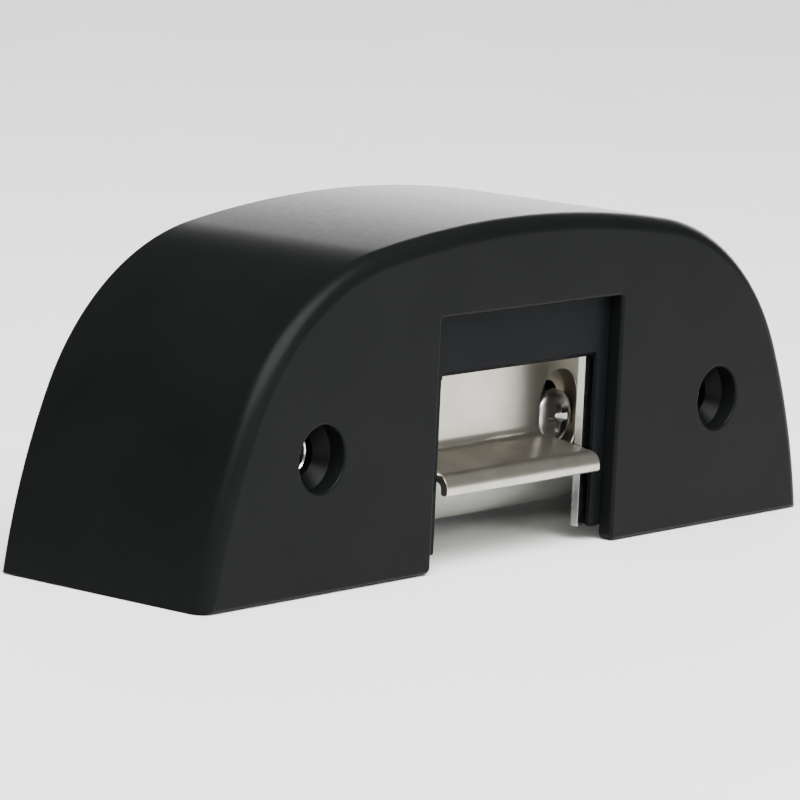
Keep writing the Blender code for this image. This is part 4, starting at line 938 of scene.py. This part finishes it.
holder = extruded("block", rounded([(-34.0, 3.5), (-22.0, 3.5), (-22.0, BLOCK_TOP),
                                    (-34.0, BLOCK_TOP)], 0.4), "front", 24, MECHANISM_BACK)
for x in TERMINALS:
    cut(holder, bar("well", 2.1, at(x, TERMINAL_DEPTH, 6.5), at(x, TERMINAL_DEPTH, 15)),
        bar("entry", 1.2, at(x, 22, 8), at(x, TERMINAL_DEPTH, 8)))
cut(holder, block("groove", (-28.3, -27.7), (23, 32), (BLOCK_TOP - 1.5, BLOCK_TOP + 1)))
finished(soften(holder, 0.15), "terminal block", TERMINAL, "housing",
         ["terminal_block"])
for number, x in enumerate(TERMINALS, 1):
    top = BLOCK_TOP - 0.6
    profile = [(0, 9.6), (1.05, 9.6), (1.2, 9.75), (1.2, top - 1.5), (1.6, top - 1.5), (1.75, top - 1.35),
               (1.75, top - 0.2), (1.55, top), (0, top)]
    screw = revolved("terminal screw", profile, at(x, TERMINAL_DEPTH, 0), "z", 40)
    cut(screw, block("slot", (x - 3, x + 3), (TERMINAL_DEPTH - 0.25, TERMINAL_DEPTH + 0.25),
                     (top - 0.6, top + 1)))
    finished(screw, f"terminal screw {number}", SCREW, "housing",
             [f"terminal_screw_{number}"])
diode = [(0, -4.2), (0.3, -4.2), (0.3, -2.3), (1.05, -2.3), (1.2, -2.15), (1.2, 2.15), (1.05, 2.3),
         (0.3, 2.3), (0.3, 4.2), (0, 4.2)]
finished(revolved("diode", diode, at(sum(TERMINALS) / 2, TERMINAL_DEPTH, BLOCK_TOP + 2.0), "x", 32),
         "suppressor diode", DIODE, "housing", ["suppressor_diode"])

# %% [markdown]
# ## Back plate
#
# A zinc-plated steel plate closes the back and carries the coil and the strike frame. Its outline is
# the arch again, a little smaller than the inside of the cover. A rubber grommet lines the hole where
# the supply cable comes in.

# %% Back plate and grommet
GROMMET = (-30.5, 17.6)
plate = extruded("plate", [(x, max(z, 1.2)) for x, z in arch(WALL + 0.5)], "front", PLATE_FRONT,
                 PLATE_BACK)
for _, x, z, _ in PLATE_SCREWS:
    seat = [(0, PLATE_FRONT - 1), (1.75, PLATE_FRONT - 1), (1.75, PLATE_FRONT + 0.2),
            (3.2, PLATE_BACK - 0.1), (3.2, PLATE_BACK + 1), (0, PLATE_BACK + 1)]
    cut(plate, revolved("seat", seat, at(x, 0, z), "depth", 48))
for x, z, r in ((-FIX_X, FIX_Z, 2.75), (FIX_X, FIX_Z, 2.75), (*GROMMET, 3.6)):
    cut(plate, bar("hole", r, at(x, 30, z), at(x, 40, z), 56))
finished(soften(plate, 0.12), "back plate", ZINC, "housing", ["back_plate"])
ring = [(4.35, PLATE_BACK + 0.4), (4.6, PLATE_BACK + 0.22), (4.6, PLATE_BACK + 0.05),
        (3.3, PLATE_BACK + 0.05), (3.3, PLATE_FRONT - 0.2), (4.6, PLATE_FRONT - 0.2),
        (4.5, PLATE_FRONT - 0.8), (4.1, PLATE_FRONT - 1.2), (2.5, PLATE_FRONT - 1.2),
        (2.3, PLATE_FRONT - 1.0), (2.3, PLATE_BACK + 0.2), (2.5, PLATE_BACK + 0.4)]
finished(revolved("grommet", ring, at(GROMMET[0], 0, GROMMET[1]), "depth", 56), "cable grommet", RUBBER,
         "housing", ["cable_grommet"], angle=50)

# %% [markdown]
# ## Studio
#
# The part stands on a pale floor. A large soft light stands high at the front left, so it lights the
# floor and the opening. A wide low light behind draws the bright sweep along the crown, because satin
# black only mirrors strongly at a flat angle. A weak low light in front helps the lip. The rest of the
# room is dim, which keeps the black dark.
# The camera is long and almost level, as for a catalogue picture.

# %% Floor, lights and camera
floor_mesh = bpy.data.meshes.new("floor")
reach, level = 6, -0.0002                       # metres, just below the base
floor_mesh.from_pydata([(-reach, -reach, level), (reach, -reach, level), (reach, reach, level),
                        (-reach, reach, level)], [], [(0, 1, 2, 3)])
floor = bpy.data.objects.new("studio floor", floor_mesh)
bpy.context.scene.collection.objects.link(floor)
floor.data.materials.append(finish("pale floor", ((0.83, 0.83, 0.83), (0.85, 0.85, 0.85)), (0.6, 0.7),
                                   patch=2.0, grain=(40, 40, 40), relief=1e-5, specular=0.2))


def soft_light(name, place, target, size, power):
    lamp = bpy.data.lights.new(name, "AREA")
    lamp.shape = "RECTANGLE"
    lamp.size, lamp.size_y = size
    lamp.energy = power
    holder = bpy.data.objects.new(name, lamp)
    holder.location = place
    way = Vector(target) - Vector(place)
    holder.rotation_euler = way.to_track_quat("-Z", "Y").to_euler()
    bpy.context.scene.collection.objects.link(holder)


soft_light("key", (-0.45, -0.55, 1.15), (0, 0, 0.02), (1.5, 1.2), 88)
soft_light("behind", (1.8, 1.45, 0.38), (0, 0, 0.05), (2.6, 0.7), 46)
soft_light("low front", (0.1, -1.3, 0.35), (0, 0, 0.02), (0.9, 0.5), 4)

world = bpy.data.worlds.new("studio")
bpy.context.scene.world = world
world.use_nodes = True
world.node_tree.nodes["Background"].inputs["Color"].default_value = (1.0, 1.0, 1.0, 1.0)
world.node_tree.nodes["Background"].inputs["Strength"].default_value = 0.20

camera = bpy.data.cameras.new("camera")
camera.lens = 235.5
camera.sensor_width = 36.0
camera.clip_start = 0.01
right, up, back = (0.6410, -0.7662, 0.0458), (0.0932, 0.1369, 0.9862), (-0.7619, -0.6279, 0.1591)
view = bpy.data.objects.new("camera", camera)
turn = Matrix((right, up, back)).transposed().to_quaternion().to_matrix().to_4x4()
view.matrix_world = Matrix.Translation((-0.5606, -0.45685, 0.13585)) @ turn
bpy.context.scene.collection.objects.link(view)
bpy.context.scene.camera = view
